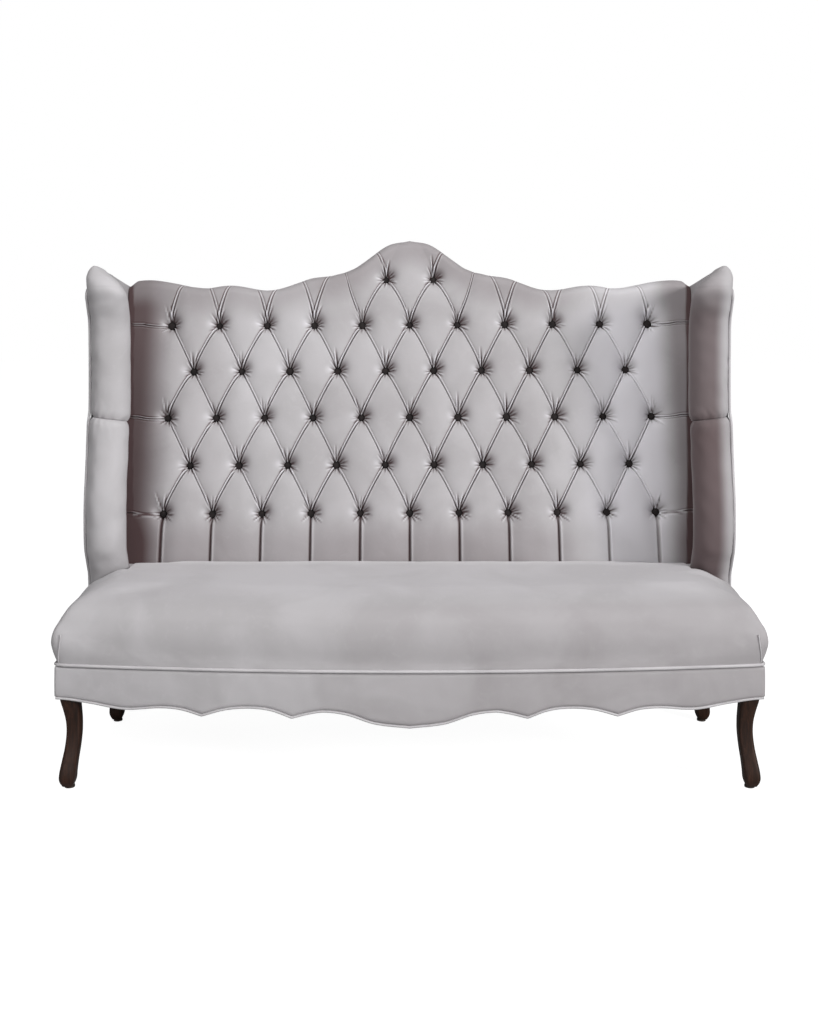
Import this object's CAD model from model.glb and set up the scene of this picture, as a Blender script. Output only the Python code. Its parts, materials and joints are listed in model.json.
"""Looks of a winged dining banquette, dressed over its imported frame.

The bench has a deep diamond-tufted back with a waved crest, two padded wings, a crowned seat,
a scalloped band with welts, and dark sabre legs. All lengths are in metres, +Z is up and the
front faces -Y.
"""

import functools
import json
import logging
import math
from dataclasses import dataclass, field
from enum import Enum
from typing import Callable

import bpy
import numpy as np
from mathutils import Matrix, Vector
from mathutils.geometry import tessellate_polygon
from mathutils.kdtree import KDTree


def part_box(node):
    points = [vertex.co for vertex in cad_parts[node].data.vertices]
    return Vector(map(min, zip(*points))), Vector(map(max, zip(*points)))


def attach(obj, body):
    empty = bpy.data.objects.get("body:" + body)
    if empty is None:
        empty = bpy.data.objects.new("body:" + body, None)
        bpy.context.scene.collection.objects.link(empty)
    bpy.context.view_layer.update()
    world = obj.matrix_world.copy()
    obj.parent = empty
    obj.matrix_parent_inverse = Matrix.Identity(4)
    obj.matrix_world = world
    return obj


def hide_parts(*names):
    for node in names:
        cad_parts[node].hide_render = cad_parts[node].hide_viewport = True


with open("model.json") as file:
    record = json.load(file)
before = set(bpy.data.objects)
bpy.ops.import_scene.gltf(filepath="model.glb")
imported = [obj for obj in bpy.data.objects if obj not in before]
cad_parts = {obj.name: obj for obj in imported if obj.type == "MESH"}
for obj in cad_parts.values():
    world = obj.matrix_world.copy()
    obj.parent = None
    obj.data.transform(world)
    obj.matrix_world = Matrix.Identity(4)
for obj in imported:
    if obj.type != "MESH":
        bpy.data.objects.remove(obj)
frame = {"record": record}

ROOT_BODY = "root"
MM = 0.001
log = logging.getLogger("banquette")
Array = np.ndarray


@functools.lru_cache(maxsize=None)
def box(node: str) -> tuple[Vector, Vector]:
    """Low and high corner of a node of the frame.

    Args:
        node: the node's name.

    Returns:
        The two corners.
    """
    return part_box(node)


class Slot(Enum):
    """Material slots of the record."""

    VELVET = "velvet"
    WELT = "velvet_welt"
    LEG = "leg_wood"
    FRAME = "frame_wood"
    WEBBING = "webbing"
    LINING = "lining"
    STEEL = "steel"
    NYLON = "nylon"


class Side(Enum):
    """The two ends of the bench, by the sign of their X."""

    RIGHT = 1
    LEFT = -1

    @property
    def word(self) -> str:
        """Word that ends the names of this side's pieces."""
        return self.name.lower()


@dataclass(frozen=True)
class ShareCurve:
    """Smooth curve through rows of place and value."""

    rows: tuple[tuple[float, float], ...]

    def at(self, places: Array | float) -> Array:
        """Values of the curve.

        Args:
            places: where to read it, held to the ends of the rows.

        Returns:
            The value at each place.
        """
        p = np.array([row[0] for row in self.rows])
        v = np.array([row[1] for row in self.rows])
        x = np.clip(places, p[0], p[-1])
        k = np.clip(np.searchsorted(p, x, side="right") - 1, 0, len(p) - 2)
        before, after = np.maximum(k - 1, 0), np.minimum(k + 2, len(p) - 1)
        span = p[k + 1] - p[k]
        slope_in = (v[k + 1] - v[before]) / (p[k + 1] - p[before])
        slope_out = (v[after] - v[k]) / (p[after] - p[k])
        t = (x - p[k]) / span
        t2, t3 = t * t, t * t * t
        return (v[k] * (2 * t3 - 3 * t2 + 1) + slope_in * span * (t3 - 2 * t2 + t)
                + v[k + 1] * (3 * t2 - 2 * t3) + slope_out * span * (t3 - t2))


def smooth_step(low: float, high: float, values: Array) -> Array:
    """Rises smoothly from 0 at low to 1 at high.

    Args:
        low: where the rise starts.
        high: where it ends, below low for a fall.
        values: where to read it.

    Returns:
        Shares from 0 to 1.
    """
    t = np.clip((values - low) / (high - low), 0, 1)
    return t * t * (3 - 2 * t)


def ripple(points: Array, scale: float, seed: int, waves: int = 7) -> Array:
    """Soft, repeatable unevenness made of a few crossing waves.

    Args:
        points: places, one row each.
        scale: rough size of the unevenness.
        seed: choice of the waves.
        waves: how many waves cross.

    Returns:
        Values of about -1 to 1.
    """
    draw = np.random.default_rng(seed)
    total = np.zeros(points.shape[:-1])
    for _ in range(waves):
        direction = draw.normal(size=3)
        direction *= 2 * math.pi / (scale * draw.uniform(0.7, 1.6) * np.linalg.norm(direction))
        total += np.sin(points @ direction + draw.uniform(0, 2 * math.pi))
    return total / math.sqrt(waves)


def bell(distance: Array | float, width: Array | float) -> Array:
    """Bump of height 1 at distance 0, which dies away on both sides."""
    return np.exp(-(distance / width) ** 2)


def spots(x: Array | float, y: Array | float, z: Array | float) -> Array:
    """Rows of places from their parts, where one number stands for a whole part."""
    return np.stack(np.broadcast_arrays(x, y, z), axis=-1)


@dataclass(frozen=True)
class Rise:
    """Smooth rise from 0 to an amount between two places, backwards if the second is lower."""

    amount: float
    low: float
    high: float

    def at(self, values: Array) -> Array:
        """Value of the rise at each place."""
        return self.amount * smooth_step(self.low, self.high, values)


@dataclass(frozen=True)
class Layout:
    """Shared sizes and lines of the bench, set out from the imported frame."""

    band_thickness: float = 8 * MM
    back_setback: float = 418 * MM
    body_depth: float = 558 * MM
    seat_z: float = 500 * MM
    face_rake: float = 0.229
    rear_rake: float = 0.197
    pad_thickness: float = 60 * MM
    outside_thickness: float = 5 * MM
    cover_gap: float = 0.3 * MM
    crest_rise: float = 155 * MM
    apron_drop: float = 54 * MM
    wing_outer: float = 888 * MM
    wing_inner: float = 781 * MM
    crest: ShareCurve = ShareCurve((
        (0, 1), (0.062, 0.929), (0.103, 0.8), (0.154, 0.574), (0.196, 0.419), (0.264, 0.303),
        (0.343, 0.232), (0.429, 0.058), (0.498, 0), (0.618, 0.097), (0.717, 0.039), (0.854, 0.174),
        (0.919, 0.2), (0.978, 0.155), (1, 0.12)))
    apron: tuple[ShareCurve, ...] = (
        ShareCurve(((0, 1), (0.096, 0.816), (0.173, 0.412), (0.235, 0.283), (0.276, 0.375),
                    (0.326, 0.586))),
        ShareCurve(((0.326, 0.586), (0.385, 0.25), (0.444, 0.154), (0.51, 0.25), (0.578, 0.568))),
        ShareCurve(((0.578, 0.568), (0.637, 0.3), (0.696, 0.237), (0.796, 0.362), (0.895, 0.142),
                    (0.96, 0.02), (1, 0))))

    @property
    def corner_y(self) -> float:
        """Depth of the band's front corners."""
        return box("front_band")[1].y - self.band_thickness

    @property
    def bow(self) -> float:
        """How far the middle of the band stands in front of its corners."""
        return self.corner_y - box("front_band")[0].y

    @property
    def half_band(self) -> float:
        """Half the width over the band."""
        return box("front_band")[1].x

    @property
    def welt_z(self) -> float:
        """Height of the seat welt's middle."""
        low, high = box("seat_welt")
        return (low.z + high.z) / 2

    def front_line(self, x: Array | float) -> Array | float:
        """Depth of the band's face across the bench."""
        return self.corner_y - self.bow * (1 - (x / self.half_band) ** 2)

    def apron_line(self, x: Array) -> Array:
        """Height of the scalloped edge across the bench."""
        share = np.minimum(np.abs(x) / self.half_band, 1)
        first, second, third = (curve.at(share) for curve in self.apron)
        limits = [curve.rows[-1][0] for curve in self.apron]
        drop = np.where(share <= limits[0], first, np.where(share <= limits[1], second, third))
        return box("side_band_right")[0].z - self.apron_drop * drop

    @property
    def face_out(self) -> tuple[float, float]:
        """Depth and height of one step straight out of the tufted face."""
        length = math.hypot(1, self.face_rake)
        return -1 / length, self.face_rake / length

    def crest_line(self, x: Array) -> Array:
        """Height of the back's top edge across the bench."""
        share = np.minimum(np.abs(x) / self.wing_outer, 1)
        return box("inside_back")[1].z - self.crest_rise * (1 - self.crest.at(share))

    def pad_face(self, z: Array | float) -> Array | float:
        """Depth of the tufted face, at its crowns."""
        return self.corner_y + self.back_setback + self.face_rake * (z - self.seat_z)

    def rear_face(self, z: Array | float) -> Array | float:
        """Depth of the outside back."""
        return self.corner_y + self.body_depth + self.rear_rake * np.maximum(z - self.seat_z, 0)


LAYOUT = Layout()


def added(name: str, data: bpy.types.ID) -> bpy.types.Object:
    """Puts a new object with this data into the scene."""
    thing = bpy.data.objects.new(name, data)
    bpy.context.scene.collection.objects.link(thing)
    return thing


class Shaper:
    """Turns arrays of points into Blender pieces."""

    @staticmethod
    def loft(rings: Array) -> tuple[Array, Array]:
        """Closed skin over a stack of rings.

        Args:
            rings: places, as rings by points by axes.

        Returns:
            Points and triangles, those of the last ring's cap at the end.
        """
        rows, columns = rings.shape[:2]
        i, j = np.meshgrid(np.arange(rows - 1), np.arange(columns), indexing="ij")
        a, b = i * columns + j, i * columns + (j + 1) % columns
        quads = np.stack([a, b, b + columns, a + columns], axis=-1).reshape(-1, 4)
        first, last = Shaper.cap(rings[0]), Shaper.cap(rings[-1])
        return rings.reshape(-1, 3), np.concatenate([
            quads[:, [0, 1, 2]], quads[:, [0, 2, 3]], first[:, ::-1], last + (rows - 1) * columns])

    @staticmethod
    def cap(ring: Array) -> Array:
        """Triangles over one ring, which may be hollow on a side.

        Args:
            ring: places of a nearly flat ring.

        Returns:
            Corner numbers, turned the way the ring runs.
        """
        triangles = np.array(tessellate_polygon([[Vector(place) for place in ring]]))
        a, b, c = (ring[triangles[:, k]] for k in range(3))
        arms = ring - ring.mean(axis=0)
        normal = np.cross(arms, np.roll(arms, -1, axis=0)).sum(axis=0)
        turned = np.cross(b - a, c - a) @ normal < 0
        triangles[turned] = triangles[turned][:, ::-1]
        return triangles

    @staticmethod
    def outward(points: Array, triangles: Array) -> Array:
        """Turns the faces of a closed skin outwards.

        Args:
            points: corner places.
            triangles: corner numbers.

        Returns:
            The triangles, reversed if they faced inwards.
        """
        a, b, c = (points[triangles[:, k]] for k in range(3))
        volume = np.einsum("ij,ij->i", a, np.cross(b, c)).sum()
        return triangles if volume > 0 else triangles[:, ::-1]

    @staticmethod
    def piece(name: str, points: Array, faces: Array,
              material: bpy.types.Material) -> bpy.types.Object:
        """Makes a smooth-shaded object of a closed skin.

        Args:
            name: the object's name.
            points: corner places.
            faces: triangles.
            material: its finish.

        Returns:
            The new object, at the origin.
        """
        mesh = bpy.data.meshes.new(name)
        mesh.from_pydata(points.tolist(), [], Shaper.outward(points, faces).tolist())
        mesh.validate()
        mesh.polygons.foreach_set("use_smooth", [True] * len(mesh.polygons))
        mesh.materials.append(material)
        return added(name, mesh)

    @staticmethod
    def shade(thing: bpy.types.Object, values: Array) -> None:
        """Stores how dark the pile looks at each point, from -1 to 1.

        Args:
            thing: the piece.
            values: one value for each point.
        """
        layer = thing.data.attributes.new("nap", "FLOAT", "POINT")
        layer.data.foreach_set("value", np.clip(values, -1, 1).astype(np.float32))

    @staticmethod
    def lofted(name: str, rings: Array | list[Array], material: bpy.types.Material,
               side: Side = Side.RIGHT) -> bpy.types.Object:
        """Makes an object of a stack of rings.

        Args:
            name: the object's name.
            rings: its rings, as they lie on the right side.
            material: its finish.
            side: the side that it belongs to, which is mirrored on the left.

        Returns:
            The new object.
        """
        return Shaper.piece(name, *Shaper.loft(np.array(rings) * (side.value, 1, 1)), material)


def dress(piece: bpy.types.Object, slot: Slot, *nodes: str) -> None:
    """Puts a piece on the bench's one body and gives it its slot.

    Args:
        piece: the new object.
        slot: the record's material slot.
        nodes: the frame's nodes that it stands for.
    """
    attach(piece, ROOT_BODY)
    if nodes:
        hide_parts(*nodes)
    log.info("%s: %d faces", piece.name, len(piece.data.polygons))


@dataclass(frozen=True)
class Padding:
    """Cloth under pressure, which swells a filled cover between the places where it is fastened.

    The cloth is run on a coarse copy of the cover. Its moves are capped and carried over to the
    cover's own points, which start a little drawn in.
    """

    voxel: float = 11 * MM
    pressure: float = 4
    frames: int = 20
    quality: int = 4
    most: float = 4.5 * MM
    drawn_in: float = 2.5 * MM
    smoothing: int = 4
    nearest: int = 6
    blur: float = 2 * MM

    @staticmethod
    def places(mesh: bpy.types.Mesh) -> Array:
        """Places of a mesh's points."""
        flat = np.empty(3 * len(mesh.vertices))
        mesh.vertices.foreach_get("co", flat)
        return flat.reshape(-1, 3)

    def coarse_copy(self, cover: bpy.types.Object) -> bpy.types.Object:
        """Even, coarse copy of a cover, as an object of its own."""
        remesh = cover.modifiers.new("even", "REMESH")
        remesh.mode = "VOXEL"
        remesh.voxel_size = self.voxel
        graph = bpy.context.evaluated_depsgraph_get()
        mesh = bpy.data.meshes.new_from_object(cover.evaluated_get(graph))
        cover.modifiers.remove(remesh)
        return added(f"{cover.name}_cloth", mesh)

    def run(self, copy: bpy.types.Object, held: Array) -> Array:
        """Runs the cloth.

        Args:
            copy: the coarse copy.
            held: 1 for each point that is fastened, else 0.

        Returns:
            How far each point has moved.
        """
        before = self.places(copy.data)
        pins = copy.vertex_groups.new(name="held")
        pins.add(np.flatnonzero(held > 0.5).tolist(), 1.0, "REPLACE")
        cloth = copy.modifiers.new("padding", "CLOTH")
        settings = cloth.settings
        settings.vertex_group_mass = "held"
        settings.use_pressure = True
        settings.uniform_pressure_force = self.pressure
        settings.effector_weights.gravity = 0
        settings.quality = self.quality
        cloth.collision_settings.use_collision = False
        for moment in range(1, self.frames + 1):
            bpy.context.scene.frame_set(moment)
        graph = bpy.context.evaluated_depsgraph_get()
        move = self.places(copy.evaluated_get(graph).data) - before
        bpy.context.scene.frame_set(1)
        length = np.linalg.norm(move, axis=1, keepdims=True)
        move *= np.minimum(1, self.most / np.maximum(length, 1e-9))
        ends = np.empty(2 * len(copy.data.edges), dtype=int)
        copy.data.edges.foreach_get("vertices", ends)
        first, second = ends.reshape(-1, 2).T
        count = np.bincount(ends, minlength=len(move))[:, None]
        for _ in range(self.smoothing):
            total = np.zeros_like(move)
            np.add.at(total, first, move[second])
            np.add.at(total, second, move[first])
            move = 0.5 * move + 0.5 * total / np.maximum(count, 1)
        return move

    def swell(self, cover: bpy.types.Object, held: Callable[[Array], Array]) -> None:
        """Swells a cover.

        Args:
            cover: the piece, at the origin.
            held: gives 1 for the places that are fastened, and 0 for free ones.
        """
        copy = self.coarse_copy(cover)
        coarse = self.places(copy.data)
        move = self.run(copy, held(coarse))
        tree = KDTree(len(coarse))
        for index, place in enumerate(coarse.tolist()):
            tree.insert(place, index)
        tree.balance()
        fine = self.places(cover.data)
        near = [tree.find_n(place, self.nearest) for place in fine.tolist()]
        index = np.array([[found[1] for found in row] for row in near])
        away = np.array([[found[2] for found in row] for row in near])
        weight = 1 / (away + self.blur) ** 2
        carried = (move[index] * weight[..., None]).sum(axis=1) / weight.sum(axis=1, keepdims=True)
        normals = np.empty(fine.size)
        cover.data.vertex_normals.foreach_get("vector", normals)
        length = np.linalg.norm(carried, axis=1, keepdims=True)
        fine += carried - self.drawn_in * (length / self.most) * normals.reshape(-1, 3)
        cover.data.vertices.foreach_set("co", fine.reshape(-1))
        cover.data.update()
        log.info("%s: cloth on %d points, mean move %.2f mm, largest %.2f mm", cover.name,
                 len(coarse), length.mean() / MM, length.max() / MM)
        mesh = copy.data
        bpy.data.objects.remove(copy)
        bpy.data.meshes.remove(mesh)


class Graph:
    """A node tree, with one call for a node and all that goes into it."""

    def __init__(self, tree: bpy.types.NodeTree) -> None:
        """Takes up a tree.

        Args:
            tree: the tree that the nodes go into.
        """
        self.tree = tree

    def feed(self, socket: bpy.types.NodeSocket, value: object) -> None:
        """Links a socket to another, or gives it a value. A colour of three parts is opaque."""
        if isinstance(value, bpy.types.NodeSocket):
            self.tree.links.new(value, socket)
        else:
            opaque = socket.type == "RGBA" and len(value) == 3
            socket.default_value = (*value, 1) if opaque else value

    def node(self, kind: str, feeds: dict[str | int, object], **settings: object) -> bpy.types.Node:
        """Adds a node.

        Args:
            kind: the node's type.
            feeds: a value or another node's socket for each input, by name or number.
            settings: the node's own properties.

        Returns:
            The new node.
        """
        node = self.tree.nodes.new(kind)
        for name, value in settings.items():
            setattr(node, name, value)
        for key, value in feeds.items():
            self.feed(node.inputs[key], value)
        return node

    def times(self, value: bpy.types.NodeSocket, factor: object,
              **settings: object) -> bpy.types.NodeSocket:
        """Product of a number and a factor."""
        return self.node("ShaderNodeMath", {0: value, 1: factor}, operation="MULTIPLY",
                         **settings).outputs[0]


class Shader(Graph):
    """A material with one Principled surface, and short calls for its patterns."""

    def __init__(self, name: str) -> None:
        """Starts the material.

        Args:
            name: the material's name.
        """
        self.material = bpy.data.materials.new(name)
        self.material.use_nodes = True
        super().__init__(self.material.node_tree)
        self.surface = self.tree.nodes["Principled BSDF"]
        self.places = self.node("ShaderNodeTexCoord", {}).outputs["Object"]

    def finished(self, feeds: dict[str, object]) -> bpy.types.Material:
        """Feeds the surface's named inputs and gives the material."""
        for name, value in feeds.items():
            self.feed(self.surface.inputs[name], value)
        return self.material

    def stretch(self, scale: tuple[float, float, float]) -> bpy.types.NodeSocket:
        """Object places, stretched along the axes."""
        return self.node("ShaderNodeMapping", {"Vector": self.places, "Scale": scale}).outputs[0]

    def noise(self, scale: float, detail: float = 2, places: bpy.types.NodeSocket | None = None,
              distortion: float = 0) -> bpy.types.NodeSocket:
        """Noise of one scale.

        Args:
            scale: repeats for each metre.
            detail: how many finer layers it has.
            places: where it is read, or the object's own places.
            distortion: how much it swirls.

        Returns:
            The noise's value socket.
        """
        return self.node("ShaderNodeTexNoise", {
            "Vector": places or self.places, "Scale": scale, "Detail": detail,
            "Distortion": distortion}).outputs["Fac"]

    def weave(self, scale: float, direction: str) -> bpy.types.NodeSocket:
        """Uneven bands along one axis, as the threads of a cloth."""
        feeds = {"Vector": self.places, "Scale": scale, "Distortion": 0.6}
        return self.node("ShaderNodeTexWave", feeds, bands_direction=direction).outputs["Fac"]

    def ramp(self, value: bpy.types.NodeSocket,
             *stops: tuple[float, tuple | float]) -> bpy.types.NodeSocket:
        """Colours along a value.

        Args:
            value: the value socket.
            stops: place and colour of each stop, where one number is a grey.

        Returns:
            The colour socket.
        """
        node = self.node("ShaderNodeValToRGB", {"Fac": value})
        elements = node.color_ramp.elements
        while len(elements) < len(stops):
            elements.new(1.0)
        for element, (place, colour) in zip(elements, stops):
            element.position = place
            element.color = (*(colour if isinstance(colour, tuple) else (colour,) * 3), 1)
        return node.outputs["Color"]

    def mixed(self, share: bpy.types.NodeSocket | float, first: bpy.types.NodeSocket,
              second: bpy.types.NodeSocket | tuple, blend: str = "MIX") -> bpy.types.NodeSocket:
        """Blend of two colours."""
        return self.node("ShaderNodeMix", {0: share, 6: first, 7: second}, data_type="RGBA",
                         blend_type=blend).outputs[2]

    def bump(self, height: bpy.types.NodeSocket, strength: float, distance: float,
             under: bpy.types.NodeSocket | None = None) -> bpy.types.NodeSocket:
        """Fine relief.

        Args:
            height: the relief's value.
            strength: how much of it shows.
            distance: its depth.
            under: the normal of a coarser relief.

        Returns:
            The normal socket.
        """
        node = self.node("ShaderNodeBump", {
            "Strength": strength, "Distance": distance, "Height": height})
        if under is not None:
            self.feed(node.inputs["Normal"], under)
        return node.outputs["Normal"]


@dataclass(frozen=True)
class Velvet:
    """Short-pile velvet whose pile lies a little unevenly."""

    name: str = "grey_velvet"
    brushed: tuple = (0.462, 0.447, 0.458)
    shaded: tuple = (0.402, 0.387, 0.395)
    sheen: float = 0.35
    pile_scale: float = 1500
    sweep_scale: float = 5.0
    crushed: tuple = (0.086, 0.053, 0.054)
    lit: tuple = (0.78, 0.76, 0.80)

    def build(self) -> bpy.types.Material:
        """Makes the material. Its nap attribute runs from lit at -1 to crushed at 1."""
        shader = Shader(self.name)
        sweeps = shader.noise(self.sweep_scale, 4, distortion=0.6)
        marks = shader.noise(self.sweep_scale * 7, 3, distortion=1.2)
        speckle = shader.noise(self.pile_scale * 0.6, 1)
        colour = shader.ramp(sweeps, (0.36, self.shaded), (0.62, self.brushed))
        raised = tuple(min(channel * 1.05, 1) for channel in self.brushed)
        colour = shader.mixed(shader.ramp(marks, (0.55, 0), (0.8, 0.35)), colour, raised)
        colour = shader.mixed(shader.ramp(speckle, (0.3, 0), (0.7, 0.1)), colour, self.shaded)
        nap = shader.node("ShaderNodeAttribute", {}, attribute_name="nap").outputs["Fac"]
        dark = shader.node("ShaderNodeClamp", {"Value": nap}).outputs[0]
        colour = shader.mixed(dark, colour, self.crushed)
        colour = shader.mixed(shader.times(nap, -1, use_clamp=True), colour, self.lit)
        soft = shader.bump(shader.noise(38, 3), 0.35, 0.9 * MM)
        pile = shader.bump(shader.noise(self.pile_scale, 2), 0.25, 0.25 * MM, soft)
        return shader.finished({
            "Base Color": colour, "Normal": pile, "Roughness": 0.78, "Specular IOR Level": 0.25,
            "Sheen Weight": self.sheen, "Sheen Roughness": 0.35, "Sheen Tint": (0.95, 0.93, 0.94)})


@dataclass(frozen=True)
class StainedWood:
    """Dark stained hardwood with a satin lacquer and grain along the leg."""

    name: str = "espresso_wood"
    dark: tuple = (0.013, 0.006, 0.0035)
    mid: tuple = (0.030, 0.0122, 0.007)
    light: tuple = (0.047, 0.019, 0.0105)

    def build(self) -> bpy.types.Material:
        """Makes the material."""
        shader = Shader(self.name)
        along = shader.stretch((1, 1, 0.07))
        grain = shader.noise(95, 6, along, 1.4)
        pores = shader.noise(620, 2, along)
        colour = shader.ramp(grain, (0.3, self.dark), (0.52, self.mid), (0.72, self.light))
        colour = shader.mixed(shader.ramp(pores, (0.35, 0.5), (0.5, 0)), colour, self.dark)
        relief = shader.bump(pores, 0.25, 0.15 * MM, shader.bump(grain, 0.15, 0.4 * MM))
        return shader.finished({
            "Base Color": colour, "Normal": relief,
            "Roughness": shader.ramp(shader.noise(14, 3), (0.3, 0.40), (0.7, 0.55)),
            "Specular IOR Level": 0.22, "Coat Weight": 0.15, "Coat Roughness": 0.3})


@dataclass(frozen=True)
class RawWood:
    """Sawn hardwood and plywood of the hidden frame."""

    name: str = "frame_hardwood"
    early: tuple = (0.56, 0.40, 0.23)
    late: tuple = (0.40, 0.26, 0.13)

    def build(self) -> bpy.types.Material:
        """Makes the material."""
        shader = Shader(self.name)
        rings = shader.noise(42, 5, shader.stretch((0.08, 1, 1)), 1.8)
        return shader.finished({
            "Base Color": shader.ramp(rings, (0.35, self.late), (0.6, self.early)),
            "Normal": shader.bump(rings, 0.3, 0.5 * MM), "Roughness": 0.7})


@dataclass(frozen=True)
class WovenCloth:
    """Plain cloth with threads in both directions."""

    name: str
    thread: tuple
    gap: tuple
    scale: float
    depth: float = 0.6 * MM

    def build(self) -> bpy.types.Material:
        """Makes the material."""
        shader = Shader(self.name)
        crossed = shader.mixed(0.5, shader.weave(self.scale, "X"), shader.weave(self.scale, "Y"))
        colour = shader.ramp(crossed, (0.25, self.gap), (0.6, self.thread))
        mottled = shader.mixed(shader.noise(60, 3), colour, self.thread, "MULTIPLY")
        return shader.finished({
            "Base Color": shader.mixed(0.25, colour, mottled),
            "Normal": shader.bump(crossed, 0.6, self.depth), "Roughness": 0.92,
            "Sheen Weight": 0.1})


@dataclass(frozen=True)
class Hardware:
    """Zinc-plated steel or moulded nylon, lightly scuffed."""

    name: str
    colour: tuple
    metallic: float
    roughness: tuple[float, float]

    def build(self) -> bpy.types.Material:
        """Makes the material."""
        shader = Shader(self.name)
        scuffs = shader.noise(160, 4)
        worn = tuple(channel * 0.85 for channel in self.colour)
        low, high = self.roughness
        return shader.finished({
            "Base Color": shader.ramp(scuffs, (0.4, worn), (0.6, self.colour)),
            "Roughness": shader.ramp(scuffs, (0.3, low), (0.7, high)),
            "Normal": shader.bump(shader.noise(900, 2), 0.2, 0.1 * MM),
            "Metallic": self.metallic})


class Finishes:
    """The bench's materials, one of each."""

    def __init__(self) -> None:
        """Builds every finish."""
        self.velvet = Velvet().build()
        self.welt = Velvet("welt_velvet", (0.52, 0.505, 0.515), (0.45, 0.435, 0.445), sheen=0.3,
                           pile_scale=1700, sweep_scale=9).build()
        self.button = Velvet("button_velvet", (0.018, 0.013, 0.013), (0.009, 0.007, 0.007),
                             sheen=0.02, pile_scale=1700, sweep_scale=40).build()
        self.leg = StainedWood().build()
        self.lining = WovenCloth("black_lining", (0.018, 0.017, 0.018), (0.006, 0.006, 0.006),
                                 scale=900, depth=0.2 * MM).build()
        self.steel = Hardware("zinc_steel", (0.52, 0.53, 0.55), 1, (0.28, 0.45)).build()
        webbing = WovenCloth("jute_webbing", (0.42, 0.30, 0.15), (0.16, 0.10, 0.05), scale=420)
        nylon = Hardware("brown_nylon", (0.05, 0.035, 0.028), 0, (0.4, 0.6))
        self.by_slot = {
            Slot.VELVET: self.velvet, Slot.WELT: self.welt, Slot.LEG: self.leg,
            Slot.FRAME: RawWood().build(), Slot.WEBBING: webbing.build(),
            Slot.LINING: self.lining, Slot.STEEL: self.steel, Slot.NYLON: nylon.build(),
        }

    def clothe_frame(self) -> None:
        """Gives each node of the frame the finish of its slot."""
        for subpart in frame["record"]["subparts"]:
            thing = bpy.data.objects.get(subpart["node"])
            if thing is not None:
                thing.data.materials.clear()
                thing.data.materials.append(self.by_slot[Slot(subpart["material_slot"])])


class GeometryTree(Graph):
    """A Geometry Nodes tree with named inputs, run once on a few points."""

    def __init__(self, name: str, *numbers: str) -> None:
        """Starts a tree that takes and gives geometry.

        Args:
            name: the tree's name.
            numbers: the names of its number inputs, beside the finish.
        """
        super().__init__(bpy.data.node_groups.new(name, "GeometryNodeTree"))
        sockets = self.tree.interface
        sockets.new_socket("Geometry", in_out="OUTPUT", socket_type="NodeSocketGeometry")
        kinds = {"Geometry": "Geometry", **dict.fromkeys(numbers, "Float"), "Finish": "Material"}
        self.identifiers = {
            key: sockets.new_socket(key, in_out="INPUT", socket_type=f"NodeSocket{kind}").identifier
            for key, kind in kinds.items()}
        self.start = self.node("NodeGroupInput", {}).outputs
        self.end = self.node("NodeGroupOutput", {}).inputs

    def turned(self, seed: int, low: tuple, high: tuple) -> bpy.types.NodeSocket:
        """Random turn for each point, between two sets of angles."""
        draw = self.node("FunctionNodeRandomValue", {0: low, 1: high, "Seed": seed},
                         data_type="FLOAT_VECTOR")
        return self.node("FunctionNodeEulerToRotation", {"Euler": draw.outputs[0]}).outputs[0]

    def finish(self, geometry: bpy.types.NodeSocket) -> None:
        """Ends the tree in smooth, realized geometry with its finish."""
        smooth = self.node("GeometryNodeSetShadeSmooth", {"Geometry": geometry})
        real = self.node("GeometryNodeRealizeInstances", {"Geometry": smooth.outputs[0]})
        finish = self.node("GeometryNodeSetMaterial", {
            "Geometry": real.outputs[0], "Material": self.start["Finish"]})
        self.feed(self.end[0], finish.outputs[0])

    def grow(self, name: str, places: Array, edges: list[tuple[int, int]],
             values: dict[str, object]) -> bpy.types.Object:
        """Runs the tree and keeps the result as a plain mesh.

        Args:
            name: the new object's name.
            places: the points that it starts from.
            edges: the lines between them, if they are a path.
            values: a value for each named input.

        Returns:
            The new object, with no modifier left.
        """
        points = bpy.data.meshes.new(f"{name}_seed")
        points.from_pydata(places.tolist(), edges, [])
        seed = added(f"{name}_seed", points)
        modifier = seed.modifiers.new(self.tree.name, "NODES")
        modifier.node_group = self.tree
        for key, value in values.items():
            modifier[self.identifiers[key]] = value
        bpy.context.view_layer.update()
        graph = bpy.context.evaluated_depsgraph_get()
        mesh = bpy.data.meshes.new_from_object(seed.evaluated_get(graph))
        mesh.name = name
        bpy.data.objects.remove(seed)
        bpy.data.meshes.remove(points)
        return added(name, mesh)


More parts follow.
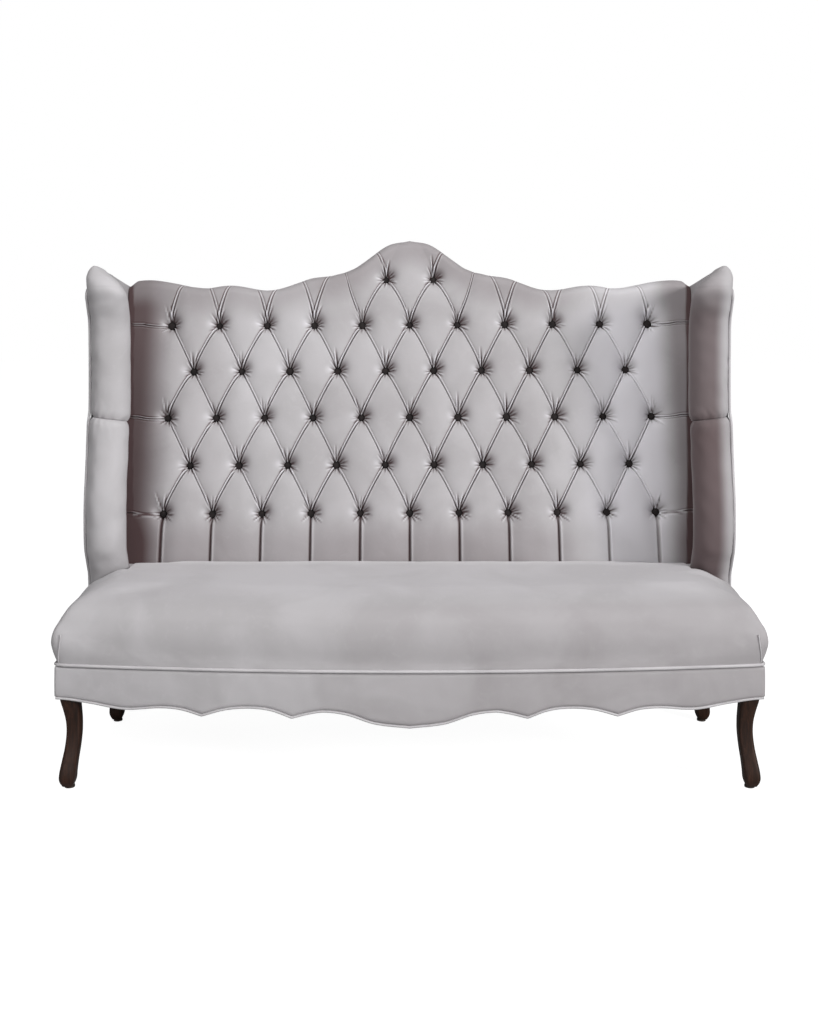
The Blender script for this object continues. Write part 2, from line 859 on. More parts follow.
class CordTree(GeometryTree):
    """Sweeps a round cord, with small gathers in its cover, along a path."""

    def __init__(self, finish: bpy.types.Material) -> None:
        """Builds the tree.

        Args:
            finish: the material of every cord.
        """
        super().__init__("cord_along_path", "Radius", "Step", "Gather")
        self.cover = finish
        curve = self.node("GeometryNodeMeshToCurve", {"Mesh": self.start["Geometry"]})
        even = self.node("GeometryNodeResampleCurve", {
            "Curve": curve.outputs[0], "Length": self.start["Step"]}, mode="LENGTH")
        circle = self.node("GeometryNodeCurvePrimitiveCircle", {
            "Resolution": 12, "Radius": self.start["Radius"]})
        swept = self.node("GeometryNodeCurveToMesh", {
            "Curve": even.outputs[0], "Profile Curve": circle.outputs[0], "Fill Caps": True})
        noise = self.node("ShaderNodeTexNoise", {"Scale": 170.0, "Detail": 1.0})
        push = self.node("ShaderNodeVectorMath", {
            0: self.node("GeometryNodeInputNormal", {}).outputs[0],
            "Scale": self.times(noise.outputs["Fac"], self.start["Gather"])}, operation="SCALE")
        moved = self.node("GeometryNodeSetPosition", {
            "Geometry": swept.outputs[0], "Offset": push.outputs[0]})
        self.finish(moved.outputs[0])

    def lay(self, name: str, path: Array, radius: float, step: float, gather: float,
            *nodes: str) -> None:
        """Lays one cord and dresses it as a welt.

        Args:
            name: the new piece's name.
            path: its middle line.
            radius: its radius.
            step: length of each of its parts.
            gather: height of the gathers.
            nodes: the frame's nodes that it stands for.
        """
        cord = self.grow(name, path, [(k, k + 1) for k in range(len(path) - 1)], {
            "Radius": radius, "Step": step, "Gather": gather, "Finish": self.cover})
        dress(cord, Slot.WELT, *nodes)


class ButtonTree(GeometryTree):
    """Sets a domed covered button on each point, facing out of the raked back."""

    def __init__(self) -> None:
        """Builds the tree."""
        super().__init__("buttons_on_points", "Radius", "Tilt")
        dome = self.node("GeometryNodeMeshUVSphere", {"Segments": 20, "Rings": 12, "Radius": 1.0})
        flat = self.node("GeometryNodeTransform", {
            "Geometry": dome.outputs[0], "Scale": (1.0, 1.0, 0.5)})
        upright = self.node("ShaderNodeCombineXYZ", {"X": self.start["Tilt"]})
        base = self.node("FunctionNodeEulerToRotation", {"Euler": upright.outputs[0]})
        wobble = self.turned(11, (-0.09, -0.09, 0), (0.09, 0.09, 3.1))
        both = self.node("FunctionNodeRotateRotation", {0: base.outputs[0], 1: wobble},
                         rotation_space="LOCAL")
        spread = self.node("FunctionNodeRandomValue", {2: 0.82, 3: 1.06, "Seed": 23})
        placed = self.node("GeometryNodeInstanceOnPoints", {
            "Points": self.start["Geometry"], "Instance": flat.outputs[0],
            "Rotation": both.outputs[0],
            "Scale": self.times(self.start["Radius"], spread.outputs[1])})
        self.finish(placed.outputs[0])


class StapleTree(GeometryTree):
    """Drives a small staple into each point, turned at random."""

    def __init__(self) -> None:
        """Builds the tree."""
        super().__init__("staples_on_points", "Length")
        bar = self.node("GeometryNodeMeshCube", {"Size": (1.0, 0.1, 0.08)})
        placed = self.node("GeometryNodeInstanceOnPoints", {
            "Points": self.start["Geometry"], "Instance": bar.outputs[0],
            "Rotation": self.turned(5, (0, 0, -0.5), (0, 0, 0.5)), "Scale": self.start["Length"]})
        self.finish(placed.outputs[0])


@dataclass
class TuftedBack:
    """Inside back: a padded velvet cover pulled into diamonds by rows of buttons.

    Lattice places count button pitches across (a) and button rows up (b) from the middle of the
    lowest row. Both families of pleats start at the buttons: where a + shift is whole the pleats
    rise to the left, and where a - shift is whole they rise to the right.
    """

    pitch: float = 145.5 * MM
    row_rise: float = 138.7 * MM
    lowest_z: float = 636 * MM
    lean: float = 0.0045
    side_tufts: int = 5
    full_rows: int = 4
    crown_offset: float = 0.5
    fan: float = 0.27
    crown_fan: float = 0.42
    flare: float = 1.4
    bow: float = 2.2 * MM
    crown_bow: float = 7 * MM
    bottom_z: float = 452 * MM
    steps: int = 46
    side_steps: int = 34
    low_steps: int = 40
    crowding: float = 1.6
    pillow: float = 9 * MM
    well_depth: float = 33 * MM
    well_floor: float = 8 * MM
    well_reach: float = 16 * MM
    end_fall: float = 26 * MM
    end_start: float = 660 * MM
    crest_stand: float = 5 * MM
    top_radius: float = 30 * MM
    rear_radius: float = 12 * MM
    lip: float = 16 * MM
    button_radius: float = 12.5 * MM
    seed: int = 7
    gather_reach: float = 95 * MM
    gathers: tuple[tuple[float, float, float], ...] = (
        (100, 50, 1.0), (84, 40, 0.7), (71, 44, 1.0), (119, 26, 0.7), (-36, 30, 1.0),
        (-14, 26, 0.9), (-62, 22, 0.9), (-138, 24, 0.9), (-162, 22, 0.8), (170, 20, 0.7),
        (12, 24, 0.7), (-98, 18, 0.6), (34, 20, 0.5))
    side_pleats: tuple[tuple[float, float], ...] = ((0, 0.7), (-6.5 * MM, 0.35))
    left_tone: tuple[Rise, ...] = (Rise(0.12, 450 * MM, 620 * MM), Rise(0.8, 705 * MM, 815 * MM))
    right_tone: tuple[Rise, ...] = (
        Rise(1.15, 725 * MM, 815 * MM), Rise(-0.72, 440 * MM, 640 * MM))
    middle_tone: Rise = Rise(0.1, -380 * MM, -180 * MM)
    crest_fade: Rise = Rise(0.35, -90 * MM, -30 * MM)
    crest_tone: Rise = Rise(0.26, -110 * MM, -30 * MM)
    foot_tone: Rise = Rise(0.27, 20 * MM, -100 * MM)
    wing_line: float = 812 * MM
    wing_line_lean: float = 0.05
    wing_line_tone: Rise = Rise(0.8, -6 * MM, 3 * MM)
    half_width: float = field(default_factory=lambda: box("inside_back")[1].x)

    def button_places(self) -> Array:
        """Lattice places of every button, as a and b."""
        places = []
        for row in range(self.full_rows + 1):
            shift = 0.5 if row % 2 else 0.0
            count = 2 * self.side_tufts + (0 if row % 2 else 1)
            for k in range(count):
                places.append((k - self.side_tufts + shift, float(row)))
        crown = self.full_rows + 1.0
        places += [(-self.crown_offset, crown), (self.crown_offset, crown)]
        return np.array(places)

    def shift(self, a: Array, b: Array) -> Array:
        """How far the pleats of a button have moved aside at a height.

        Args:
            a: places across in lattice steps.
            b: places up in lattice steps.

        Returns:
            Half the row count, and less above the last row, where the pleats turn upright.
        """
        last = self.full_rows
        fanned = last / 2 + self.fan * np.clip(b - last, 0, 1.2) ** self.flare
        raised = self.crown_fan * np.clip(b - last - 1, 0, 1) ** self.flare
        crowned = np.minimum(b, last + 1) / 2 + raised
        outside = smooth_step(1.0, 1.5, np.abs(a))
        return np.where(b <= last, b / 2, crowned * (1 - outside) + fanned * outside)

    def crowd(self, value: Array) -> Array:
        """Draws lattice lines closer together beside each pleat."""
        cell = np.floor(value - 1e-9)
        offset = value - cell - 0.5
        reach = 1 - (1 - np.minimum(np.abs(2 * offset), 1)) ** self.crowding
        return cell + 0.5 + 0.5 * np.sign(offset) * reach

    def lattice(self) -> tuple[Array, Array, Array, Array]:
        """Lattice over the pad, drawn towards the pleats.

        Returns:
            The step numbers across and up, and the lattice places across and up.
        """
        half = self.side_tufts * 2 * self.steps
        inner = np.arange(-half, half + 1)
        outer = np.arange(1, self.side_steps + 1)
        columns = np.concatenate([inner[0] - outer[::-1], inner, inner[-1] + outer])
        rows = np.arange(-self.low_steps, int(6.75 * self.steps) + 1)
        column, row = np.meshgrid(columns, rows)
        a, b = column / (2 * self.steps), row / self.steps
        held_a, held_b = np.clip(a, -self.side_tufts, self.side_tufts), np.maximum(b, 0)
        shift = self.shift(held_a, held_b)
        s, t = held_a + shift, held_a - shift
        pull_s, pull_t = self.crowd(s) - s, self.crowd(t) - t
        upright = 1 - smooth_step(self.full_rows, self.full_rows + 0.4, held_b)
        new_a = held_a + (pull_s + pull_t) / 2
        new_b = held_b + (pull_s - pull_t) * upright
        edge = self.side_tufts * self.pitch
        beyond = (np.abs(column) - inner[-1]) / self.side_steps
        out = (edge + beyond * (self.half_width - edge)) / self.pitch
        new_a = np.where(beyond > 0, np.sign(a) * out, new_a)
        depth_b = (self.bottom_z - self.lowest_z) / self.row_rise
        new_b = np.where(row < 0, -row / self.low_steps * depth_b, new_b)
        return column, row, new_a, new_b

    def bowed(self, a: Array, b: Array) -> tuple[Array, Array]:
        """Places on the face, with the pleats bowed upwards between their buttons.

        Args:
            a: lattice places across.
            b: lattice places up.

        Returns:
            Places across and up in metres.
        """
        held_a, held_b = np.clip(a, -self.side_tufts, self.side_tufts), np.maximum(b, 0)
        shift = self.shift(held_a, held_b)
        left = np.abs(np.sin(np.pi * (held_a - shift)))
        right = np.abs(np.sin(np.pi * (held_a + shift)))
        last = self.full_rows
        amount = self.bow * (1 - smooth_step(last, last + 0.3, b)) * smooth_step(-0.7, 0, b)
        inner = (1 - smooth_step(1.0, 1.3, np.abs(a))) * (1 - smooth_step(last + 1, last + 1.2, b))
        amount += self.crown_bow * smooth_step(last, last + 0.2, b) * inner
        x = a * self.pitch + amount * 0.85 * (left - right)
        z = self.lowest_z + b * self.row_rise + amount * 0.52 * (left + right) + self.lean * x
        return x, z

    def relief(self, a: Array, b: Array) -> tuple[Array, Array]:
        """Pillows and folds of the cover.

        Args:
            a: lattice places across.
            b: lattice places up.

        Returns:
            Depth behind the face, and how dark the pile looks, from -1 to 1.
        """
        held_a, held_b = np.clip(a, -self.side_tufts, self.side_tufts), np.maximum(b, 0)
        shift = self.shift(held_a, held_b)
        s, t = held_a + shift, held_a - shift
        off_s, off_t = s - np.round(s), t - np.round(t)
        gap = 1 / math.hypot(1 / self.pitch, 1 / (2 * self.row_rise))
        puff = (1 - (1 - np.abs(2 * off_s)) ** 3.2) * (1 - (1 - np.abs(2 * off_t)) ** 3.2)
        depth = self.pillow * (1 - puff)
        depth *= 1 - 0.5 * smooth_step(self.full_rows, self.full_rows + 1, b)
        inside = (b >= 0) & (np.abs(a) <= self.side_tufts + 1e-6)
        crown = (b > self.full_rows + 1) & (np.abs(a) < 1.3)
        keep_s = inside & ~(crown & (a > -0.3))
        keep_t = inside & ~(crown & (a < 0.3))
        dark = np.zeros_like(depth)
        faint = 0.58 + 0.2 * smooth_step(self.full_rows - 0.2, self.full_rows + 0.3, b)
        for off, other, keep, strength in (
                (off_s, off_t, keep_s, faint), (-off_t, off_s, keep_t, 1.05)):
            close = 1 - np.abs(2 * other)
            fold, shade = self.fold(off * gap, strength * (0.8 + 0.2 * close), 1 + 0.3 * close ** 3)
            depth += np.where(keep, fold, 0)
            dark += np.where(keep, shade, 0)
        across = (held_a - np.round(held_a)) * self.pitch
        channel = (b < 0) * smooth_step(0, -0.1, b) * (np.abs(a) <= self.side_tufts + 0.05)
        depth += channel * MM * (9 * bell(across, 3 * MM) - 1.6 * bell(across - 7 * MM, 3 * MM))
        dark += channel * (0.9 * bell(across, 3.4 * MM) - 0.4 * bell(across - 6.5 * MM, 2.4 * MM))
        sag = 5 * MM * np.sin(np.pi * np.clip((np.abs(a) - self.side_tufts) / 0.6, 0, 1))
        upright = (b / 2 - np.round(b / 2)) * 2 * self.row_rise + sag
        beside = (np.abs(a) > self.side_tufts) & (b >= -0.3) & (b < self.full_rows + 0.6)
        for place, strength in self.side_pleats:
            fold, shade = self.fold(upright - place, strength, 0.8)
            depth += np.where(beside, fold, 0)
            dark += np.where(beside, shade, 0)
        return depth, dark

    def fold(self, distance: Array, strength: Array | float,
             width: Array | float) -> tuple[Array, Array]:
        """Relief of one folded pleat.

        Args:
            distance: distance from the pleat's line, positive on its upper side.
            strength: how much of the fold there is.
            width: how wide it is, against its usual width.

        Returns:
            Depth behind the face, and how dark the pile looks.
        """
        groove = bell(distance, 1.5 * MM * width)
        ridge = bell(distance - 3.4 * MM * width, 1.6 * MM)
        second = bell(distance - 6.8 * MM * width, 1.5 * MM) * strength
        lower = bell(distance + 3.4 * MM, 2.0 * MM)
        depth = strength * MM * (6 * groove - 3 * ridge + 3.6 * second - lower)
        return depth, strength * (0.85 * groove - 0.8 * ridge + 0.75 * second - 0.2 * lower)

    def gather(self, dx: Array, dz: Array, row: tuple[float, float, float],
               draw: np.random.Generator) -> tuple[Array, Array]:
        """Relief of one short gather that runs out of a button's well.

        Args:
            dx: places across from the button.
            dz: places up from the button.
            row: its direction in degrees, its length in millimetres and its strength.
            draw: source of its unevenness.

        Returns:
            Depth behind the face, and how dark the pile looks.
        """
        angle, length, weight = row
        turn = math.radians(angle + draw.uniform(-9, 9))
        ends = length * MM * draw.uniform(0.75, 1.3)
        forward = dx * math.cos(turn) + dz * math.sin(turn)
        aside = -dx * math.sin(turn) + dz * math.cos(turn)
        share = np.clip((forward - self.well_floor) / ends, 0, 1)
        taper = np.sin(np.pi * np.sqrt(share)) * (forward > self.well_floor)
        taper *= weight * draw.uniform(0.7, 1.2)
        width = (1.3 + share) * MM
        valley, crest = bell(aside, width), bell(aside - 2.2 * width, width)
        return 5.2 * MM * taper * (valley - 0.7 * crest), 1.05 * taper * (valley - crest)

    def wells(self, x: Array, z: Array) -> tuple[Array, Array]:
        """Funnels round the buttons, with the short gathers that run out of them.

        Args:
            x: places across.
            z: places up.

        Returns:
            Depth behind the face, and how dark the pile looks.
        """
        draw = np.random.default_rng(self.seed)
        depth, dark = np.zeros_like(x), np.zeros_like(x)
        for a, b in self.button_places():
            middle_x = a * self.pitch
            middle_z = self.lowest_z + b * self.row_rise + self.lean * middle_x
            near = np.maximum(np.abs(x - middle_x), np.abs(z - middle_z)) < self.gather_reach
            dx, dz = x[near] - middle_x, z[near] - middle_z
            r = np.hypot(dx, dz)
            reach = self.well_reach * draw.uniform(0.9, 1.12)
            total = self.well_depth * np.exp(-(np.maximum(r - self.well_floor, 0) / reach) ** 1.12)
            shade = 0.9 * bell(r, 14 * MM)
            shade += 0.6 * bell(np.hypot(dx - 15 * MM, dz - 8 * MM), 17 * MM)
            shade -= 0.45 * bell(np.hypot(dx + 22 * MM, dz - 2 * MM), 11 * MM)
            for row in self.gathers:
                fold, tone = self.gather(dx, dz, row, draw)
                total += fold
                shade += tone
            depth[near] += total
            dark[near] += shade
        return depth, dark

    def tone(self, x: Array, z: Array, crest: Array) -> Array:
        """How dark the pile looks apart from its pleats: at the ends, the crest and the foot.

        Args:
            x: places across.
            z: places up the face.
            crest: height of the top edge above each place.

        Returns:
            Values from lit, below 0, to crushed, at 1.
        """
        outward = np.abs(x)
        ends = np.where(x < 0, sum(rise.at(outward) for rise in self.left_tone),
                        sum(rise.at(outward) for rise in self.right_tone))
        ends *= 1 - self.crest_fade.at(z - crest)
        beyond = outward - self.wing_line - self.wing_line_lean * (z - LAYOUT.seat_z)
        return (ends + self.middle_tone.at(x) * smooth_step(450 * MM, 350 * MM, x)
                + self.crest_tone.at(z - crest) * (1 - np.clip(2 * ends, 0, 1))
                + self.foot_tone.at(z - self.lowest_z)
                + self.wing_line_tone.at(beyond) * smooth_step(30 * MM, 8 * MM, beyond))

    def wrapped(self, z_flat: Array, crest: Array) -> tuple[Array, ...]:
        """Carries the cover up its face, over the crest and down behind it.

        Args:
            z_flat: height of each place, as if the face had no end.
            crest: height of the top edge above each place.

        Returns:
            Depth and height, the depth and height of a step outwards, and how far each place
            lies past the front curve and past the rear one.
        """
        out_y, out_z = LAYOUT.face_out
        sweep = math.pi / 2 - math.atan(LAYOUT.face_rake)
        radius, rear_radius = self.top_radius, self.rear_radius
        start = crest - radius * (1 - out_z)
        travel = np.maximum(z_flat - start, 0)
        angle = np.minimum(travel / radius, sweep)
        centre_z = start - radius * out_z
        centre_y = LAYOUT.pad_face(start) - radius * out_y
        flat_length = self.rear(crest) - rear_radius - centre_y
        past = np.maximum(travel - radius * sweep, 0)
        rear_turn = np.clip((past - flat_length) / rear_radius, 0, math.pi / 2)
        beyond = past - (flat_length + rear_radius * math.pi / 2)
        normal_y = np.where(rear_turn > 0, np.sin(rear_turn),
                            out_y * np.cos(angle) + out_z * np.sin(angle))
        normal_z = np.where(rear_turn > 0, np.cos(rear_turn),
                            out_z * np.cos(angle) - out_y * np.sin(angle))
        y = np.where(travel > 0, centre_y + radius * normal_y, LAYOUT.pad_face(z_flat))
        z = np.where(travel > 0, centre_z + radius * normal_z, z_flat)
        behind = centre_y + np.minimum(past, flat_length) + rear_radius * np.sin(rear_turn)
        fallen = rear_radius * (1 - np.cos(rear_turn)) + np.clip(beyond, 0, self.lip)
        y = np.where(past > 0, behind, y)
        z = np.where(past > 0, crest - fallen, z)
        return y, z, normal_y, normal_z, past, beyond

    def rear(self, crest: Array) -> Array:
        """Depth of the cover's fall behind the crest."""
        return LAYOUT.rear_face(crest) - LAYOUT.outside_thickness - LAYOUT.cover_gap

    def build(self, finishes: Finishes) -> None:
        """Makes the cover and its buttons."""
        column, row, a, b = self.lattice()
        x, z_flat = self.bowed(a, b)
        depth, dark = self.relief(a, b)
        outward = np.abs(x)
        crest = LAYOUT.crest_line(x) + self.crest_stand
        crest -= Rise(13 * MM, 836 * MM, self.half_width).at(outward)
        y, z, normal_y, normal_z, past, beyond = self.wrapped(z_flat, crest)
        start = crest - self.top_radius * (1 - LAYOUT.face_out[1])
        depth *= 1 - 0.7 * smooth_step(start - 60 * MM, crest, z_flat)
        well, well_dark = self.wells(x, np.minimum(z_flat, crest))
        fade = 1 - smooth_step(0, 45 * MM, past)
        sunk = (depth + well + 0.9 * MM * ripple(spots(x, y, z), 0.11, 3)) * fade
        over = np.maximum(outward - self.end_start, 0) / (self.half_width - self.end_start)
        rear_y = self.rear(crest)
        ahead = (rear_y - y) / (rear_y - LAYOUT.pad_face(np.minimum(z_flat, crest)))
        fall = self.end_fall * over ** 2 * np.clip(ahead, 0, 1)
        points = spots(x, y - normal_y * sunk + fall, z - normal_z * sunk)
        dark = (dark + well_dark + self.tone(x, z_flat, crest)) * fade
        self.close(points, dark, beyond >= self.lip, (column - row) % 2 == 0, finishes)
        self.set_buttons(finishes)

    def close(self, points: Array, dark: Array, ended: Array, even: Array,
              finishes: Finishes) -> None:
        """Closes the cover behind and makes the piece.

        Args:
            points: places of the cover's lattice.
            dark: how dark the pile looks at each place.
            ended: which of them lie past the end of the cover.
            even: which cells are cut from their first corner.
            finishes: the bench's materials.
        """
        rows, columns = points.shape[:2]
        last = np.where(ended.any(axis=0), ended.argmax(axis=0), rows - 1)
        number = np.minimum(np.arange(rows)[:, None], last) * columns + np.arange(columns)
        c00, c01, c10, c11 = number[:-1, :-1], number[:-1, 1:], number[1:, :-1], number[1:, 1:]
        cut = even[:-1, :-1, None]
        first = np.where(cut, spots(c00, c01, c11), spots(c00, c01, c10))
        second = np.where(cut, spots(c00, c11, c10), spots(c01, c11, c10))
        triangles = np.concatenate([first.reshape(-1, 3), second.reshape(-1, 3)])
        p, q, r = triangles.T
        used, flat = np.unique(triangles[(p != q) & (q != r) & (r != p)], return_inverse=True)
        triangles = flat.reshape(-1, 3)
        face = points.reshape(-1, 3)[used]
        edges = np.concatenate([triangles[:, [0, 1]], triangles[:, [1, 2]], triangles[:, [2, 0]]])
        _, place, count = np.unique(np.sort(edges, axis=1), axis=0, return_index=True,
                                    return_counts=True)
        border = edges[place[count == 1]]
        rim = np.unique(border)
        behind = face[rim].copy()
        behind[:, 1] = LAYOUT.pad_face(behind[:, 2]) + LAYOUT.pad_thickness
        renumber = np.full(len(face), -1)
        renumber[rim] = len(face) + np.arange(len(rim))
        middle_z = behind[:, 2].mean()
        centre = np.array([[0, LAYOUT.pad_face(middle_z) + LAYOUT.pad_thickness, middle_z]])
        p, q = border[:, 0], border[:, 1]
        hub = len(face) + len(rim)
        walls = [spots(q, p, renumber[p]), spots(q, renumber[p], renumber[q]),
                 spots(renumber[q], renumber[p], hub)]
        everything = np.concatenate([face, behind, centre])
        cover = Shaper.piece("tufted_inside_back", everything, np.concatenate([triangles, *walls]),
                             finishes.velvet)
        values = np.zeros(len(everything))
        values[:len(face)] = dark.reshape(-1)[used]
        Shaper.shade(cover, values)
        dress(cover, Slot.VELVET, "inside_back")

    def set_buttons(self, finishes: Finishes) -> None:
        """Sets the covered buttons in the wells."""
        lattice = self.button_places()
        x = lattice[:, 0] * self.pitch
        z = self.lowest_z + lattice[:, 1] * self.row_rise + self.lean * x
        sunk = self.well_depth + self.pillow - 3 * MM
        out_y, out_z = LAYOUT.face_out
        places = spots(x, LAYOUT.pad_face(z) - sunk * out_y, z - sunk * out_z)
        buttons = ButtonTree().grow("tufting_buttons", places, [], {
            "Radius": self.button_radius, "Tilt": math.pi / 2 - math.atan(LAYOUT.face_rake),
            "Finish": finishes.button})
        dress(buttons, Slot.VELVET)


@dataclass
class Wing:
    """One padded wing: an ear over an arm with a seam between, and a flat outside panel."""

    side: Side
    setback: float = 246 * MM
    peak_z: float = 1345 * MM
    top_slope: float = 0.12
    bulge: float = 52 * MM
    nose_depth: float = 50 * MM
    roll_depth: float = 110 * MM
    board_thickness: float = 10.3 * MM
    lining_thickness: float = 12 * MM
    roundness: float = 0.88
    panel_fullness: float = 2.5 * MM
    panel_thickness: float = 4 * MM
    panel_setback: float = 46 * MM
    welt_radius: float = 3.6 * MM
    welt_rise: float = 0.8 * MM
    seam_share: float = 0.6
    seam_groove: float = 8 * MM
    board_top: float = 0.942
    dome_start: float = 0.916
    dome_rise: float = 5 * MM
    seam_fall: float = 13 * MM
    dome_inner: ShareCurve = ShareCurve((
        (0, 0), (0.1, 1), (0.226, 6), (0.417, 18), (0.607, 35), (0.786, 56), (0.924, 70), (1, 83)))
    dome_outer: ShareCurve = ShareCurve((
        (0, 0), (0.29, 0), (0.32, 0.8), (0.464, 2.2), (0.62, 4.5), (0.78, 4), (0.87, 2), (0.96, -3),
        (1, -8)))
    dents: tuple[tuple[float, float, float], ...] = (
        (1085 * MM, 13 * MM, 3 * MM), (1052 * MM, 10 * MM, 2 * MM), (1016 * MM, 16 * MM, 3.2 * MM),
        (968 * MM, 12 * MM, 2.2 * MM))
    arm: ShareCurve = ShareCurve((
        (0, 0.1), (0.17, 0.12), (0.21, 0.5), (0.25, 0.88), (0.31, 1), (0.38, 0.95), (0.48, 0.62),
        (0.56, 0.42), (0.6, 0.34)))
    ear: ShareCurve = ShareCurve((
        (0.6, 0.06), (0.66, 0), (0.8, 0.02), (0.86, 0.12), (0.9, 0.5), (0.935, 0.8), (0.965, 0.74),
        (1, 0.36)))
    bottom_z: float = field(default_factory=lambda: box("lower_wing_pad_right")[0].z)
    post_top: float = field(default_factory=lambda: box("back_post_right")[1].z)

    def height(self, share: Array | float, y: Array, lift: Array | float = 0) -> Array:
        """Height of a level of the wing at a depth."""
        top = self.peak_z - (y - LAYOUT.corner_y - self.setback) * self.top_slope
        return self.bottom_z + share * (top - self.bottom_z) + lift

    def meets(self, share: float, face: Callable, lift: float = 0) -> float:
        """Depth at which a level meets a raked face."""
        y = LAYOUT.corner_y + LAYOUT.body_depth
        for _ in range(6):
            y = float(face(self.height(share, y, lift)))
        return y

    def front(self, share: float, upper: bool) -> float:
        """Depth of the wing's front line at a level."""
        curve = self.ear if upper else self.arm
        return LAYOUT.corner_y + self.setback - self.bulge * float(curve.at(share))

    def section(self, share: float, upper: bool, inset: float, lift: float,
                over: bool = False) -> Array:
        """One level of the pad: round roll in front, thin lining behind.

        Args:
            share: the level, as a share of the wing's height.
            upper: whether it belongs to the ear.
            inset: how far the roll is drawn in.
            lift: how far the level is raised.
            over: whether it belongs to the domed top, which reaches over the board.

        Returns:
            A ring of places on the right side.
        """
        base = self.front(share, upper)
        progress = upper * max(share - self.dome_start, 0) / (1 - self.dome_start)
        drawn = float(self.dome_inner.at(progress)) * MM
        swell = float(self.dome_outer.at(progress)) * MM
        near, far = LAYOUT.wing_inner + inset + drawn, LAYOUT.wing_outer - inset + swell
        centre, half = (near + far) / 2, (far - near) / 2
        front = base + inset + 0.4 * drawn
        depth = self.nose_depth - inset - 0.28 * drawn
        angle = np.linspace(0, math.pi, 44)
        nose_x = centre + half * np.sign(np.cos(angle)) * np.abs(np.cos(angle)) ** self.roundness
        nose_y = front + depth * (1 - np.sin(angle) ** self.roundness)
        outer = LAYOUT.wing_outer - self.board_thickness
        inner = outer - self.lining_thickness
        tail = base + self.roll_depth
        lining = tail + 34 * MM
        corners = ((centre - half, front + depth), (centre - half, tail - 8 * MM),
                   (inner - 4 * MM, tail - 4 * MM), (inner, lining))
        t = np.linspace(0, 1, 18)[1:, None]
        weights = ((1 - t) ** 3, 3 * t * (1 - t) ** 2, 3 * t * t * (1 - t), t ** 3)
        curve = sum(weight * np.array(corner) for weight, corner in zip(weights, corners))
        rear = self.meets(share, lambda z: LAYOUT.pad_face(z) + LAYOUT.pad_thickness, lift)
        lining_y = np.linspace(lining, rear, 22)[1:]
        end, steps = rear, 12
        end_x, end_y = np.linspace(inner, outer, steps + 2)[1:-1], np.full(steps, rear)
        rise = self.dome_rise * progress
        if over:
            end = self.meets(share, LAYOUT.rear_face, lift)
            end -= LAYOUT.outside_thickness + LAYOUT.cover_gap
            above_post = self.height(share, end, lift) + rise > self.post_top + 1 * MM
            edge = (inner if above_post else outer) + 2 * LAYOUT.cover_gap
            end_x = np.full(steps, min(edge, far - 1.5 * MM))
            end_y, outer = np.linspace(rear, end, steps), far
        last_y = tail - 3 * MM * over
        x = np.concatenate([nose_x, curve[:, 0], np.full(21, inner), end_x, np.full(22, outer),
                            [centre + half]])
        y = np.concatenate([nose_y, curve[:, 1], lining_y, end_y, np.linspace(end, tail, 22),
                            [last_y]])
        return spots(x, y, self.height(share, y, lift) + rise)

    def dress_pad(self, name: str, node: str, rings: Array, finishes: Finishes) -> None:
        """Makes one pad of the wing, its pile darker on the face that looks at the back.

        Args:
            name: the piece's name.
            node: the node that it stands for.
            rings: its levels, on the right side.
            finishes: the bench's materials.
        """
        pad = Shaper.lofted(name, rings, finishes.velvet, self.side)
        ahead = rings[..., 1] - rings[..., 1].min(axis=1, keepdims=True)
        inward, z = LAYOUT.wing_outer - rings[..., 0], rings[..., 2]
        dark = Rise(0.95, 44 * MM, 62 * MM).at(ahead) * smooth_step(16 * MM, 24 * MM, inward)
        dark *= 1 - Rise(0.72, 96 * MM, 140 * MM).at(ahead)
        dark *= smooth_step(1310 * MM, 1260 * MM, z)
        if self.side is Side.RIGHT:
            shadow = 0.3 + Rise(0.5, 1330 * MM, 1200 * MM).at(z)
            dark += shadow * smooth_step(8 * MM, 52 * MM, inward)
            dark += Rise(0.1, 960 * MM, 880 * MM).at(z)
        Shaper.shade(pad, dark.reshape(-1))
        Padding(voxel=7 * MM, most=3.5 * MM, drawn_in=2 * MM).swell(pad, self.held)
        dress(pad, Slot.VELVET, node)

    def held(self, places: Array) -> Array:
        """Tells where a pad is fastened: behind its roll, at its ends and at the seam."""
        y, z = places[:, 1], places[:, 2]
        level = (z - self.bottom_z) / (self.height(1, y) - self.bottom_z)
        arm = self.arm.at(np.minimum(level, self.seam_share))
        front = LAYOUT.corner_y + self.setback - self.bulge * arm
        behind = y > front + self.roll_depth - 20 * MM
        seam = np.abs(level - self.seam_share) < 0.016
        return (behind | seam | (level < 0.03) | (level > self.board_top)).astype(float)

    def gathered(self, rings: Array, seam_z: float) -> Array:
        """Adds slack and the small gathers beside the seam.

        Args:
            rings: a pad's levels.
            seam_z: height of the seam.

        Returns:
            The rings, with the flat rear of their outside left as it was.
        """
        x, y, z = (rings[..., axis] for axis in range(3))
        away = rings - rings.mean(axis=1, keepdims=True)
        away[..., 2] = 0
        away /= np.maximum(np.linalg.norm(away, axis=-1, keepdims=True), 1e-6)
        slack = 1.3 * ripple(rings, 0.13, 21 + self.side.value) + 0.6 * ripple(rings, 0.05, 33)
        near = np.exp(-np.abs(z - seam_z) / (22 * MM))
        waves = np.sin((x + y) / (4.2 * MM) + 2 * ripple(rings, 0.05, 9))
        move = (slack + 1.4 * near * waves) * MM
        inward = LAYOUT.wing_outer - x
        for dent_z, width, deep in self.dents:
            move -= deep * bell(inward, 16 * MM) * bell(z - dent_z, width)
        ahead = y - y.min(axis=1, keepdims=True)
        move *= 1 - smooth_step(60 * MM, 110 * MM, ahead) * smooth_step(20 * MM, 8 * MM, inward)
        out = rings + away * move[..., None]
        width = LAYOUT.wing_outer - LAYOUT.wing_inner
        out[..., 2] -= self.seam_fall * bell(z - seam_z, 60 * MM) * inward / width
        return out

